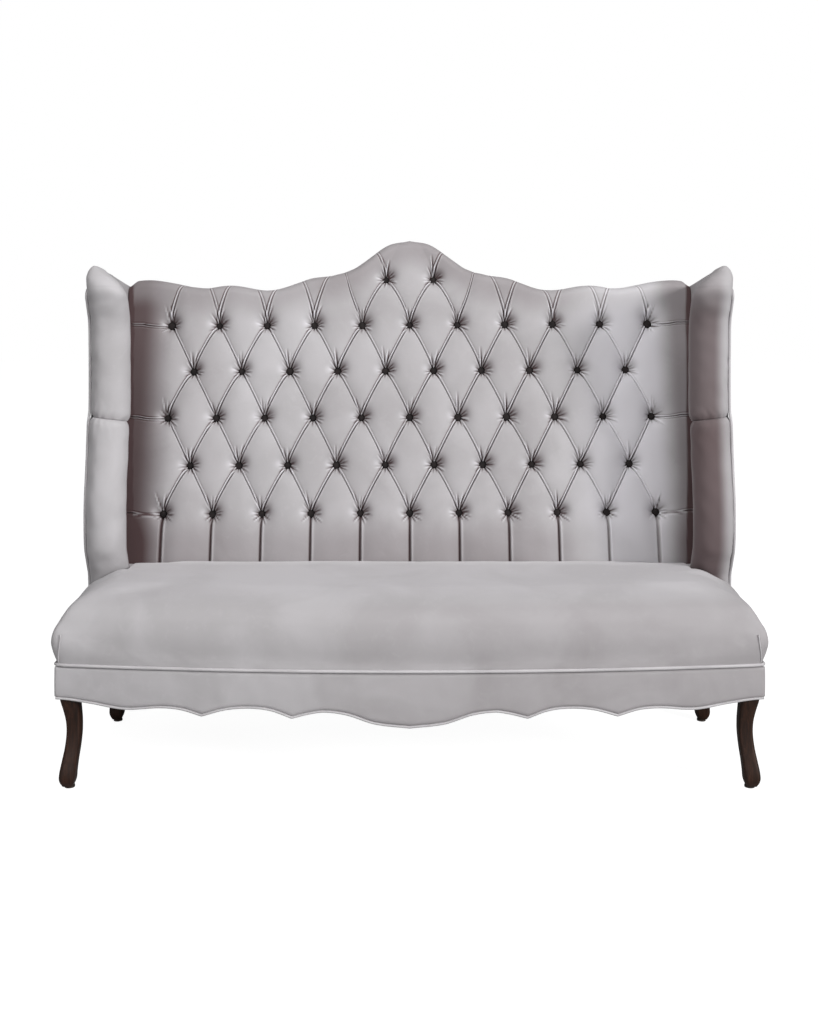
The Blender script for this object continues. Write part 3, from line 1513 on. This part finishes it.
    def pads(self, finishes: Finishes) -> None:
        """Makes the arm and the ear."""
        middle = LAYOUT.corner_y + self.setback
        seam_z = float(self.height(self.seam_share, middle))

        def drawn(share: float) -> float:
            """How far the seam draws a level in."""
            room = abs(float(self.height(share, middle)) - seam_z)
            return self.seam_groove * math.exp(-((room / (9 * MM)) ** 1.3))

        foot = np.linspace(0, 0.17, 8)[:-1]
        levels = np.concatenate([foot, np.linspace(0.17, self.seam_share, 74)])
        arm = [self.section(share, False, drawn(share), -LAYOUT.cover_gap * (share == levels[-1]))
               for share in levels]
        ear = [self.section(share, True, drawn(share), 0)
               for share in np.linspace(self.seam_share, self.board_top, 90)]
        ear += [self.section(share, True, 0, LAYOUT.cover_gap, True)
                for share in 1 - (1 - self.board_top) * np.linspace(1, 0, 30) ** 1.5]
        for place, rings in (("lower", arm), ("upper", ear)):
            node = f"{place}_wing_pad_{self.side.word}"
            pad = self.gathered(np.array(rings), seam_z)
            self.dress_pad(f"{place}_wing_{self.side.word}", node, pad, finishes)

    def panel(self, finishes: Finishes) -> None:
        """Makes the outside panel, a little full over its board."""
        inner_x = LAYOUT.wing_outer + LAYOUT.cover_gap
        top = self.board_top - 0.0008
        rings = []
        for share in np.unique(np.concatenate([np.linspace(0, self.seam_share, 60),
                                               np.linspace(self.seam_share, top, 50)])):
            front = self.front(share, share >= self.seam_share) + self.panel_setback
            rear = self.meets(share, LAYOUT.rear_face)
            rear -= LAYOUT.outside_thickness + LAYOUT.cover_gap
            across = np.linspace(0, 1, 30)
            y = front + (rear - front) * across
            z = self.height(share, y)
            edge = np.minimum(across, 1 - across) * (rear - front)
            rise = float(smooth_step(0, 0.08, np.array(min(share, top - share) * 1.03)))
            full = self.panel_thickness * (1 - np.exp(-edge / (5 * MM)))
            full += self.panel_fullness * smooth_step(0, 90 * MM, edge) * rise
            outer = spots(inner_x + np.maximum(full, 0.8 * MM), y, z)
            rings.append(np.concatenate([outer, spots(inner_x, y, z)[::-1]]))
        rings = np.array(rings)
        outside = rings[..., 0] > inner_x + 2 * MM
        rings[..., 0] += np.where(outside, 0.8 * MM * ripple(rings, 0.2, 41), 0)
        name = f"outside_wing_cover_{self.side.word}"
        panel = Shaper.lofted(name, rings, finishes.velvet, self.side)
        dress(panel, Slot.VELVET, f"outside_wing_{self.side.word}")

    def welt(self, cords: CordTree) -> None:
        """Lays the welt up the panel's front edge and back along its top."""
        x = LAYOUT.wing_outer + LAYOUT.cover_gap + self.welt_radius
        setback = self.panel_setback - self.welt_radius - LAYOUT.cover_gap
        places = []
        top, seam = self.board_top, self.seam_share
        for share in np.concatenate([np.linspace(0.012, seam, 60),
                                     np.linspace(seam, top - 0.022, 60)[1:]]):
            blend = float(smooth_step(seam - 0.02, seam + 0.02, np.array(share)))
            arm_y, ear_y = self.front(min(share, seam), False), self.front(max(share, seam), True)
            y = arm_y * (1 - blend) + ear_y * blend + setback
            places.append((x, y, float(self.height(share, y))))
        _, start_y, start_z = places[-1]
        turn_z = float(self.height(top, start_y)) - start_z
        for turn in np.linspace(0, math.pi / 2, 9)[1:]:
            y = start_y + turn_z * (1 - math.cos(turn))
            places.append((x, y, start_z + (turn_z + self.welt_rise) * math.sin(turn)))
        rear = self.meets(top, LAYOUT.rear_face) - LAYOUT.outside_thickness - 3 * self.welt_radius
        for y in np.linspace(places[-1][1] + 8 * MM, rear, 22):
            places.append((x, y, float(self.height(top, y)) + self.welt_rise))
        cords.lay(f"wing_welt_cord_{self.side.word}", np.array(places) * (self.side.value, 1, 1),
                  self.welt_radius, 3 * MM, 0.5 * MM, f"wing_welt_{self.side.word}")

    def build(self, finishes: Finishes, cords: CordTree) -> None:
        """Makes every piece of the wing."""
        self.pads(finishes)
        self.panel(finishes)
        self.welt(cords)


@dataclass
class Seat:
    """Tight seat: crowned, T-shaped in plan, bulging over its welt."""

    bulge: float = 12 * MM
    soft_gap: float = 0.6 * MM
    tuck_round: float = 6 * MM
    seam_x: float = 894 * MM
    nose_setback: float = 233.8 * MM
    nose_depth: float = 50 * MM
    ear_reach: float = 38 * MM
    crown: float = 11 * MM
    spine: float = 620 * MM
    side_steps: int = 46
    seam_radius: float = 1.6 * MM
    shares: Array = field(default_factory=lambda: np.linspace(-1, 1, 301)[1:-1])
    open_height: ShareCurve = ShareCurve(tuple(enumerate(
        (0, 0.07, 0.2, 0.34, 0.48, 0.62, 0.72, 0.83, 0.91, 0.96, 1))))
    open_inset: ShareCurve = ShareCurve(tuple(enumerate(
        (0.3, 0, -0.6, -1, -0.75, 0.15, 0.85, 2.1, 4, 6.8, 10))))
    front_inset: ShareCurve = ShareCurve(tuple(enumerate(
        (0.25, 0, -0.35, -0.55, -0.5, -0.1, 0.55, 1.9, 3.9, 6.8, 10.5))))
    tucked_height: ShareCurve = ShareCurve(tuple(enumerate(
        (0, 0.1, 0.25, 0.4, 0.55, 0.7, 0.8, 0.9, 0.95, 0.985, 1))))
    tucked_inset: ShareCurve = ShareCurve(tuple(enumerate(
        (0, 0, 0, 0, 0, 0, 0, 0.1, 0.3, 0.9, 2))))

    def ring(self, level: float, bottom: float, height: float) -> Array:
        """One ring of the seat's side.

        Args:
            level: from 0 at the bottom to 10 at the edge of the top.
            bottom: height of the seat's underside.
            height: thickness of the seat.

        Returns:
            The ring's places, with the same number at every level.
        """
        opened = self.bulge * float(self.open_inset.at(level))
        fronted = self.bulge * float(self.front_inset.at(level))
        tucked = 0.5 * self.bulge * float(self.tucked_inset.at(level))
        open_z = bottom + height * float(self.open_height.at(level))
        tucked_z = bottom + height * float(self.tucked_height.at(level))
        side_x = LAYOUT.half_band - opened
        rear_x = LAYOUT.wing_inner - self.soft_gap - tucked
        ear_y = LAYOUT.corner_y + self.nose_setback - tucked
        back_y = LAYOUT.pad_face(tucked_z) - self.soft_gap - tucked
        shares = self.shares
        at_end = np.abs(shares) ** 12
        front_y = LAYOUT.front_line(shares * LAYOUT.half_band)
        front_y += fronted + (opened - fronted) * at_end
        front = spots(shares * side_x, front_y, open_z)
        front_y = LAYOUT.corner_y + opened
        steps = np.linspace(0, 1, self.side_steps)[:, None]
        low = np.array([side_x, front_y, open_z])
        near = np.array([side_x, ear_y, tucked_z + 0.8 * (open_z - tucked_z)])
        inner = np.array([rear_x, ear_y, tucked_z + 0.3 * (open_z - tucked_z)])
        back = np.array([rear_x, back_y, tucked_z])
        ear = near + (inner - near) * steps[1::2]
        low_share = 1 - float(smooth_step(5.5, 9, np.array(level)))
        ear[:, 1] += low_share * self.nose_room(ear[:, 0])
        near[1] += low_share * self.ear_reach
        side = np.concatenate([low + (near - low) * steps, ear, inner + (back - inner) * steps[1:]])
        other = side[::-1] * np.array([-1, 1, 1])
        rear = spots(shares[::-1] * rear_x, back_y, tucked_z)
        ring = np.concatenate([front, side, rear, other])
        for _ in range(14):
            ring = 0.5 * ring + 0.25 * (np.roll(ring, 1, axis=0) + np.roll(ring, -1, axis=0))
        return ring

    def nose_room(self, x: Array) -> Array:
        """How far the seat's ear can reach back beside the round front of the wing."""
        middle = (LAYOUT.wing_outer + LAYOUT.wing_inner) / 2
        share = np.clip((x - middle) / (LAYOUT.wing_outer - middle), 0, 1)
        return np.minimum(self.nose_depth * (1 - np.sqrt(1 - share ** 2)), self.ear_reach)

    def lift(self, places: Array) -> Array:
        """How far the crown raises the top at each place."""
        x, y = np.abs(places[..., 0]), places[..., 1]
        wide = 1 - np.minimum(x / LAYOUT.half_band, 1) ** 12
        back = LAYOUT.pad_face(LAYOUT.seat_z)
        deep = smooth_step(LAYOUT.corner_y - 30 * MM, LAYOUT.corner_y + 220 * MM, y)
        rear = smooth_step(back - 130 * MM, back, y)
        corner = rear * Rise(1.1, 640 * MM, LAYOUT.wing_inner).at(x)
        ear = Rise(0.85, 600 * MM, 765 * MM).at(x) - Rise(1.15, 790 * MM, 860 * MM).at(x)
        ear *= smooth_step(90 * MM, 210 * MM, y - LAYOUT.corner_y) * (1 - rear)
        return self.crown * (wide * deep * (1 - 0.9 * rear) - corner + ear)

    def pressed(self, rings: Array) -> tuple[Array, Array]:
        """Skin of the rings, with the last one pressed together along the middle of the top.

        Args:
            rings: the seat's rings, the last of them flat along one line.

        Returns:
            Points and triangles.
        """
        points, triangles = Shaper.loft(rings)
        columns, front = rings.shape[1], len(self.shares)
        side = (columns - 2 * front) // 2
        last = (rings.shape[0] - 1) * columns
        along = np.arange(front)
        same = np.arange(len(points))
        same[last:last + columns] = last + np.concatenate([
            along, np.full(side, front - 1), along[::-1], np.zeros(side, dtype=int)])
        triangles = same[triangles[:-len(Shaper.cap(rings[-1]))]]
        a, b, c = triangles.T
        used, flat = np.unique(triangles[(a != b) & (b != c) & (c != a)], return_inverse=True)
        return points[used], flat.reshape(-1, 3)

    def held(self, places: Array) -> Array:
        """Tells where the seat is fastened: at its welt, under the wings and back, at its seams."""
        x, y, z = np.abs(places[:, 0]), places[:, 1], places[:, 2]
        low = z < box("seat_cushion")[0].z + 14 * MM
        behind = y > LAYOUT.pad_face(z) - 34 * MM
        beside = y > LAYOUT.corner_y + self.nose_setback - 26 * MM
        beside &= x > LAYOUT.wing_inner - 30 * MM
        seam = (np.abs(x - 889 * MM) < 14 * MM) & (z < 408 * MM) & (y < LAYOUT.corner_y + 60 * MM)
        return (low | behind | beside | seam).astype(float)

    def tuck(self, side: Side, finishes: Finishes) -> None:
        """Fills the corner behind the roll of a wing, where the seat's cover is tucked in.

        Args:
            side: which corner.
            finishes: the bench's materials.
        """
        near_x = LAYOUT.wing_inner + self.soft_gap
        roll = Wing(Side.RIGHT).section(0.17, False, 0, 0)[46:61, :2] + np.array([-0.8, 1.0]) * MM
        roll[:, 0] = np.maximum(roll[:, 0], near_x)
        far_x = roll[-1, 0]
        low = box("inside_back")[0].z
        corner = np.array([LAYOUT.wing_inner, LAYOUT.corner_y + 400 * MM, 0])
        edge = box("seat_cushion")[1].z + float(self.lift(corner)) - self.tuck_round
        across = np.linspace(far_x, near_x, 14)
        fall = 26 * MM * ((across - 660 * MM) / (205 * MM)) ** 2
        levels = [(low + (edge - low) * share, 0.0) for share in np.linspace(0, 1, 8)]
        levels += [(edge + self.tuck_round * math.sin(turn), self.tuck_round * (1 - math.cos(turn)))
                   for turn in np.linspace(0, math.pi / 2, 8)[1:]]
        rings = []
        for z, inset in levels:
            back = np.stack([across, LAYOUT.pad_face(z) + fall - 1 * MM], axis=-1)
            right_y = np.linspace(roll[-1, 1], back[0, 1], 6)[1:-1]
            left_y = np.linspace(back[-1, 1], roll[0, 1], 8)[1:-1]
            right = np.stack([np.full_like(right_y, far_x), right_y], axis=-1)
            left = np.stack([np.full_like(left_y, near_x), left_y], axis=-1)
            ring = np.concatenate([roll, right, back, left])
            away = ring - np.array([(near_x + far_x) / 2, ring[:, 1].mean()])
            ring = ring - away * (inset / np.linalg.norm(away, axis=1, keepdims=True))
            rings.append(spots(ring[:, 0], ring[:, 1], z))
        tuck = Shaper.lofted(f"seat_corner_tuck_{side.word}", rings, finishes.velvet, side)
        dress(tuck, Slot.VELVET)

    def seams(self, rings: Array, cords: CordTree) -> None:
        """Lays the short seams of the two front corners."""
        columns = slice(len(self.shares) // 2, len(self.shares) + 12)
        path = []
        for ring in rings[:, columns]:
            x, y, z = ring.T
            height = float(z.mean())
            place = self.seam_x - 9 * MM * float(smooth_step(330 * MM, 400 * MM, np.array(height)))
            widest = int(x.argmax()) + 1
            if 326 * MM < height < 403 * MM and place < x[:widest].max():
                depth = float(np.interp(place, x[:widest], y[:widest]))
                path.append((place, depth - 0.7 * MM, height))
        for side in Side:
            cords.lay(f"seat_corner_seam_{side.word}", np.array(path) * (side.value, 1, 1),
                      self.seam_radius, 2 * MM, 0.2 * MM)

    def build(self, finishes: Finishes, cords: CordTree) -> None:
        """Makes the seat."""
        low, high = box("seat_cushion")
        bottom, height = low.z, high.z - low.z
        rings = [self.ring(level, bottom, height) for level in np.linspace(0, 10, 58)]
        rim = rings[-1]
        side = (len(rim) - 2 * len(self.shares)) // 2
        ends = np.full(side, self.shares[-1])
        across = self.spine * np.concatenate([self.shares, ends, self.shares[::-1], -ends])
        spine = spots(across, LAYOUT.corner_y + 190 * MM, rim[:, 2])
        for share in np.linspace(0, 1, 24)[1:]:
            rings.append(rim + (spine - rim) * share)
        rings = np.array(rings)
        rings[..., 2] += self.lift(rings) * smooth_step(430 * MM, high.z, rings[..., 2])
        y, z = rings[..., 1], rings[..., 2]
        free = smooth_step(330 * MM, 380 * MM, z)
        slack = free * (0.5 * MM * ripple(rings, 0.33, 51) + 0.3 * MM * ripple(rings, 0.10, 52))
        sideways = smooth_step(470 * MM, 430 * MM, z)
        front_side = smooth_step(LAYOUT.corner_y + 120 * MM, LAYOUT.corner_y + 20 * MM, y)
        rings[..., 1] -= slack * sideways * front_side
        rings[..., 2] += slack * (1 - sideways)
        points, triangles = self.pressed(rings)
        seat = Shaper.piece("seat", points, triangles, finishes.velvet)
        top = smooth_step(470 * MM, 505 * MM, points[:, 2])
        Shaper.shade(seat, 0.2 * (1 - top) * smooth_step(-0.7, 0.5, points[:, 0]) - 0.14 * top)
        Padding().swell(seat, self.held)
        for side in Side:
            self.tuck(side, finishes)
        dress(seat, Slot.VELVET, "seat_cushion")
        self.seams(rings, cords)


@dataclass
class Band:
    """Scalloped front band, plain side bands, and the welts above and below them."""

    thickness: float = 8 * MM
    fullness: float = 1.6 * MM
    round: float = 2.5 * MM
    cord_radius: float = 3.9 * MM
    edge_radius: float = 3 * MM
    face_points: int = 22

    def stations(self, limit: float, count: int) -> Array:
        """Even places across the band, with the cusps of the scallops among them."""
        cusps = [curve.rows[-1][0] * LAYOUT.half_band for curve in LAYOUT.apron[:-1]]
        even = np.linspace(0, limit, count)
        half = np.unique(np.concatenate([even, [cusp for cusp in cusps if cusp < limit]]))
        return np.concatenate([-half[:0:-1], half])

    def profile(self, low: float, high: float, count: int) -> tuple[Array, Array]:
        """Padded cross-section between two heights.

        Returns:
            How far each point stands back from the face, and its height.
        """
        share = np.linspace(0, 1, count)
        z = low + (high - low) * share
        edge = np.minimum(share, 1 - share) * (high - low)
        back = self.round * np.exp(-edge / (1.6 * MM))
        back -= self.fullness * np.sin(np.pi * share) ** 0.6
        return back, z

    def front_band(self, finishes: Finishes) -> None:
        """Makes the scalloped front band."""
        top = box("front_band")[1].z
        rings = []
        for x in self.stations(LAYOUT.half_band, 260):
            low = float(LAYOUT.apron_line(np.array(x)))
            back, z = self.profile(low, top, self.face_points)
            front = float(LAYOUT.front_line(x))
            turn = self.round * math.exp(-(LAYOUT.half_band - abs(x)) / (2 * MM))
            rear = spots(x, front + self.thickness, np.linspace(top, low, 4))
            rings.append(np.concatenate([spots(x, front + back + turn, z), rear]))
        rings = np.array(rings)
        uneven = 0.5 * MM * ripple(rings, 0.12, 61) + 0.25 * MM * ripple(rings, 0.035, 62)
        rings[:, :self.face_points, 1] -= uneven[:, :self.face_points]
        band = Shaper.lofted("front_band_cover", rings, finishes.velvet)
        Shaper.shade(band, 0.27 * smooth_step(-0.8, 0.4, rings[..., 0].reshape(-1)) - 0.05)
        dress(band, Slot.VELVET, "front_band")

    def side_band(self, side: Side, finishes: Finishes) -> None:
        """Makes one side band."""
        low, high = box("side_band_right")
        rings = []
        for y in np.linspace(low.y, high.y, 90):
            back, z = self.profile(low.z, high.z, self.face_points)
            turn = self.round * math.exp(-min(y - low.y, high.y - y) / (2 * MM))
            rear = spots(low.x, y, np.linspace(high.z, low.z, 4))
            rings.append(np.concatenate([spots(high.x - back - turn, y, z), rear]))
        rings = np.array(rings)
        uneven = 0.5 * MM * ripple(rings, 0.12, 63)
        rings[:, :self.face_points, 0] += uneven[:, :self.face_points]
        band = Shaper.lofted(f"side_band_cover_{side.word}", rings, finishes.velvet, side)
        dress(band, Slot.VELVET, f"side_band_{side.word}")

    def seat_welt(self, cords: CordTree) -> None:
        """Lays the welt round the front and the sides."""
        corner = 16 * MM
        rear_y = box("seat_welt")[1].y
        half = [(LAYOUT.half_band, y) for y in np.linspace(rear_y, LAYOUT.corner_y + corner, 40)]
        for angle in np.linspace(0, math.pi / 2, 9)[1:]:
            half.append((LAYOUT.half_band - corner * (1 - math.cos(angle)),
                         LAYOUT.corner_y + corner * (1 - math.sin(angle))))
        inner = np.linspace(LAYOUT.half_band - corner, 0, 90)[1:]
        half += [(x, float(LAYOUT.front_line(x))) for x in inner]
        right = np.array(half)
        plan = np.concatenate([right, right[::-1][1:] * (-1, 1)])
        cords.lay("seat_welt_cord", spots(plan[:, 0], plan[:, 1], LAYOUT.welt_z),
                  self.cord_radius, 3 * MM, 0.6 * MM, "seat_welt")

    def apron_welt(self, cords: CordTree) -> None:
        """Lays the thin welt along the scallops."""
        x = self.stations(LAYOUT.half_band - self.edge_radius, 300)
        y = LAYOUT.front_line(x) + self.edge_radius
        z = LAYOUT.apron_line(x) - self.edge_radius - LAYOUT.cover_gap
        cords.lay("apron_welt_cord", spots(x, y, z), self.edge_radius, 2.5 * MM, 0.4 * MM,
                  "apron_welt")

    def build(self, finishes: Finishes, cords: CordTree) -> None:
        """Makes the bands and welts."""
        self.front_band(finishes)
        for side in Side:
            self.side_band(side, finishes)
        self.seat_welt(cords)
        self.apron_welt(cords)


@dataclass
class OutsideBack:
    """Velvet panel that closes the rear, from the crest to the lower edge."""

    rows: int = 60
    columns: int = 220
    crest_gap: float = 5 * MM
    bend: float = 3.24 * MM

    def build(self, finishes: Finishes) -> None:
        """Makes the panel."""
        low, high = box("outside_back")
        rings = []
        share = np.linspace(0, 1, self.rows)
        for x in np.linspace(low.x, high.x, self.columns):
            tall = float(LAYOUT.crest_line(np.array(x))) - self.crest_gap - low.z
            z = low.z + tall * share
            edge = np.minimum(np.minimum(share, 1 - share) * tall, high.x - abs(x))
            full = Rise(2.5 * MM, 0, 0.12).at(edge) - 3 * MM * np.exp(-edge / (2.5 * MM))
            bend = self.bend * np.exp(-np.abs(z - LAYOUT.seat_z) / (40 * MM))
            y = LAYOUT.rear_face(z)
            inner = spots(x, y - LAYOUT.outside_thickness, z)[::-1]
            rings.append(np.concatenate([spots(x, y + full + bend, z), inner]))
        rings = np.array(rings)
        rings[:, :self.rows, 1] += 0.9 * MM * ripple(rings, 0.25, 71)[:, :self.rows]
        panel = Shaper.lofted("outside_back_cover", rings, finishes.velvet)
        dress(panel, Slot.VELVET, "outside_back")


@dataclass
class Leg:
    """Carved sabre leg: square and softened, swept outwards to a rounded toe."""

    node: str
    side: Side
    facing: int
    top_width: float = 48 * MM
    splay: float = 9.5 * MM
    reach: float = 25.5 * MM
    softness: float = 4.5
    widths: ShareCurve = ShareCurve((
        (0, 1), (0.08, 0.98), (0.2, 0.88), (0.32, 0.80), (0.45, 0.77), (0.6, 0.78), (0.74, 0.82),
        (0.86, 0.87), (0.93, 0.85), (1, 0.62)))
    splays: ShareCurve = ShareCurve((
        (0, 0), (0.08, -0.05), (0.2, -0.5), (0.32, -0.85), (0.45, -0.9), (0.6, -0.55), (0.74, 0),
        (0.86, 0.42), (0.93, 0.5), (1, 0.45)))

    def build(self, finishes: Finishes) -> None:
        """Makes the leg."""
        low, high = box(f"{self.node}_{self.side.word}")
        centre_x = max(abs(low.x), abs(high.x)) - self.reach
        end_y = low.y if self.facing < 0 else high.y
        centre_y = end_y - self.facing * self.reach
        angle = np.linspace(0, 2 * math.pi, 56, endpoint=False)
        power = 2 / self.softness
        square_x = np.sign(np.cos(angle)) * np.abs(np.cos(angle)) ** power
        square_y = np.sign(np.sin(angle)) * np.abs(np.sin(angle)) ** power
        rings = []
        for share in np.concatenate([np.linspace(0, 0.93, 80), np.linspace(0.94, 1, 14)]):
            half = self.top_width * float(self.widths.at(share)) / 2
            toe = max(share - 0.95, 0) / 0.05
            half *= 1 - 0.10 * toe * toe
            shift = self.splay * float(self.splays.at(share))
            z = high.z + (low.z - high.z) * share
            rings.append(spots(centre_x + shift + half * square_x,
                               centre_y + self.facing * shift + half * square_y, z))
        name = f"{self.node}_carved_{self.side.word}"
        leg = Shaper.lofted(name, rings, finishes.leg, self.side)
        dress(leg, Slot.LEG, f"{self.node}_{self.side.word}")


@dataclass
class DustCover:
    """Black lining stretched under the seat, with its staples."""

    sag: float = 5 * MM
    thickness: float = 0.8 * MM
    staple_gap: float = 55 * MM
    staple_length: float = 11 * MM
    front_gap: float = 34 * MM
    leg_room: tuple[float, float, float] = (68 * MM, 106 * MM, 62 * MM)

    def build(self, finishes: Finishes) -> None:
        """Makes the lining and the staples."""
        low, high = box("dust_cover")
        notch_x = high.x - self.leg_room[0]
        share = np.linspace(0, 1, 40)
        rings = []
        for x in np.linspace(low.x, high.x, 121):
            front, rear = low.y + self.leg_room[1], high.y - self.leg_room[2]
            if abs(x) < notch_x:
                front, rear = max(float(LAYOUT.front_line(x)) + self.front_gap, low.y), high.y
            drop = self.sag * np.cos(np.pi * x / (2 * high.x)) * np.sin(np.pi * share)
            top = spots(x, np.linspace(front, rear, 40), high.z - 0.2 * MM - drop)
            rings.append(np.concatenate([top, top[::-1] - np.array([0, 0, self.thickness])]))
        cover = Shaper.lofted("dust_cover_lining", rings, finishes.lining)
        dress(cover, Slot.LINING, "dust_cover")
        x = np.arange(-notch_x + 20 * MM, notch_x, self.staple_gap)
        places = spots(x, high.y - 6 * MM, low.z + 0.4 * MM)
        staples = StapleTree().grow("lining_staples", places, [], {
            "Length": self.staple_length, "Finish": finishes.steel})
        dress(staples, Slot.STEEL)


@dataclass(frozen=True)
class Studio:
    """White studio with soft lamps, and the photograph's level, shifted view."""

    camera_back: float = 3000 * MM
    camera_height: float = 1200 * MM
    lens: float = 41.44
    shift_x: float = -0.0002
    shift_y: float = -0.188
    floor_half: float = 30

    def camera(self) -> None:
        """Sets the camera in front of the bench."""
        data = bpy.data.cameras.new("camera")
        data.lens = self.lens
        data.sensor_width = 36
        data.sensor_fit = "AUTO"
        data.shift_x = self.shift_x
        data.shift_y = self.shift_y
        camera = added("camera", data)
        camera.location = (0, LAYOUT.corner_y - self.camera_back, self.camera_height)
        camera.rotation_euler = (math.pi / 2, 0, 0)
        bpy.context.scene.camera = camera

    def lamp(self, name: str, place: tuple, size: float, watts: float, aim: tuple) -> None:
        """Adds a soft square lamp.

        Args:
            name: the lamp's name.
            place: where it stands.
            size: its side.
            watts: its power.
            aim: the place that it faces.
        """
        data = bpy.data.lights.new(name, "AREA")
        data.shape = "SQUARE"
        data.size = size
        data.energy = watts
        lamp = added(name, data)
        lamp.location = place
        lamp.rotation_euler = (Vector(aim) - Vector(place)).to_track_quat("-Z", "Y").to_euler()

    def world(self) -> None:
        """Soft light all round, and white to the camera."""
        world = bpy.data.worlds.new("studio")
        bpy.context.scene.world = world
        world.use_nodes = True
        world.node_tree.nodes.clear()
        graph = Graph(world.node_tree)
        soft = graph.node("ShaderNodeBackground", {"Color": (0.98, 0.98, 1.0), "Strength": 0.18})
        white = graph.node("ShaderNodeBackground", {"Color": (1, 1, 1)})
        seen = graph.node("ShaderNodeLightPath", {}).outputs["Is Camera Ray"]
        mix = graph.node("ShaderNodeMixShader", {0: seen, 1: soft.outputs[0], 2: white.outputs[0]})
        graph.node("ShaderNodeOutputWorld", {"Surface": mix.outputs[0]})

    def floor(self) -> None:
        """Pale floor that stays white to the camera and keeps the bench's shadow."""
        material = bpy.data.materials.new("floor_white")
        material.use_nodes = True
        graph = Graph(material.node_tree)
        surface = graph.tree.nodes["Principled BSDF"]
        graph.feed(surface.inputs["Base Color"], (0.4, 0.4, 0.4))
        graph.feed(surface.inputs["Roughness"], 0.9)
        graph.feed(surface.inputs["Specular IOR Level"], 0)
        seen = graph.node("ShaderNodeLightPath", {}).outputs["Is Camera Ray"]
        glow = graph.node("ShaderNodeEmission", {"Strength": graph.times(seen, 0.93)})
        both = graph.node("ShaderNodeAddShader", {0: surface.outputs[0], 1: glow.outputs[0]})
        graph.feed(graph.tree.nodes["Material Output"].inputs["Surface"], both.outputs[0])
        half = self.floor_half
        mesh = bpy.data.meshes.new("floor")
        mesh.from_pydata([(-half, -half, 0), (half, -half, 0), (half, half, 0), (-half, half, 0)],
                         [], [(0, 1, 2, 3)])
        mesh.materials.append(material)
        floor = added("floor", mesh)

    def build(self) -> None:
        """Sets the view, the lamps and the floor."""
        bpy.context.scene.view_settings.view_transform = "Standard"
        self.camera()
        self.world()
        self.floor()
        aim = (0, 0, 0.75)
        self.lamp("key", (7.6, -6.4, 3.9), 2.4, 740, aim)
        self.lamp("front_fill", (-1.5, -4.8, 1.8), 4.0, 68, aim)
        self.lamp("top", (-0.2, -1.7, 3.4), 2.4, 54, (0, -0.2, 0.4))


def main() -> None:
    """Builds the studio and the bench."""
    logging.basicConfig(level=logging.INFO, format="%(name)s %(message)s")
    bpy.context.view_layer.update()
    Studio().build()
    finishes = Finishes()
    finishes.clothe_frame()
    cords = CordTree(finishes.welt)
    TuftedBack().build(finishes)
    for side in Side:
        Wing(side).build(finishes, cords)
    Seat().build(finishes, cords)
    Band().build(finishes, cords)
    OutsideBack().build(finishes)
    for side in Side:
        Leg("front_leg", side, -1).build(finishes)
        Leg("rear_leg", side, 1).build(finishes)
    DustCover().build(finishes)


if __name__ == "__main__":
    main()
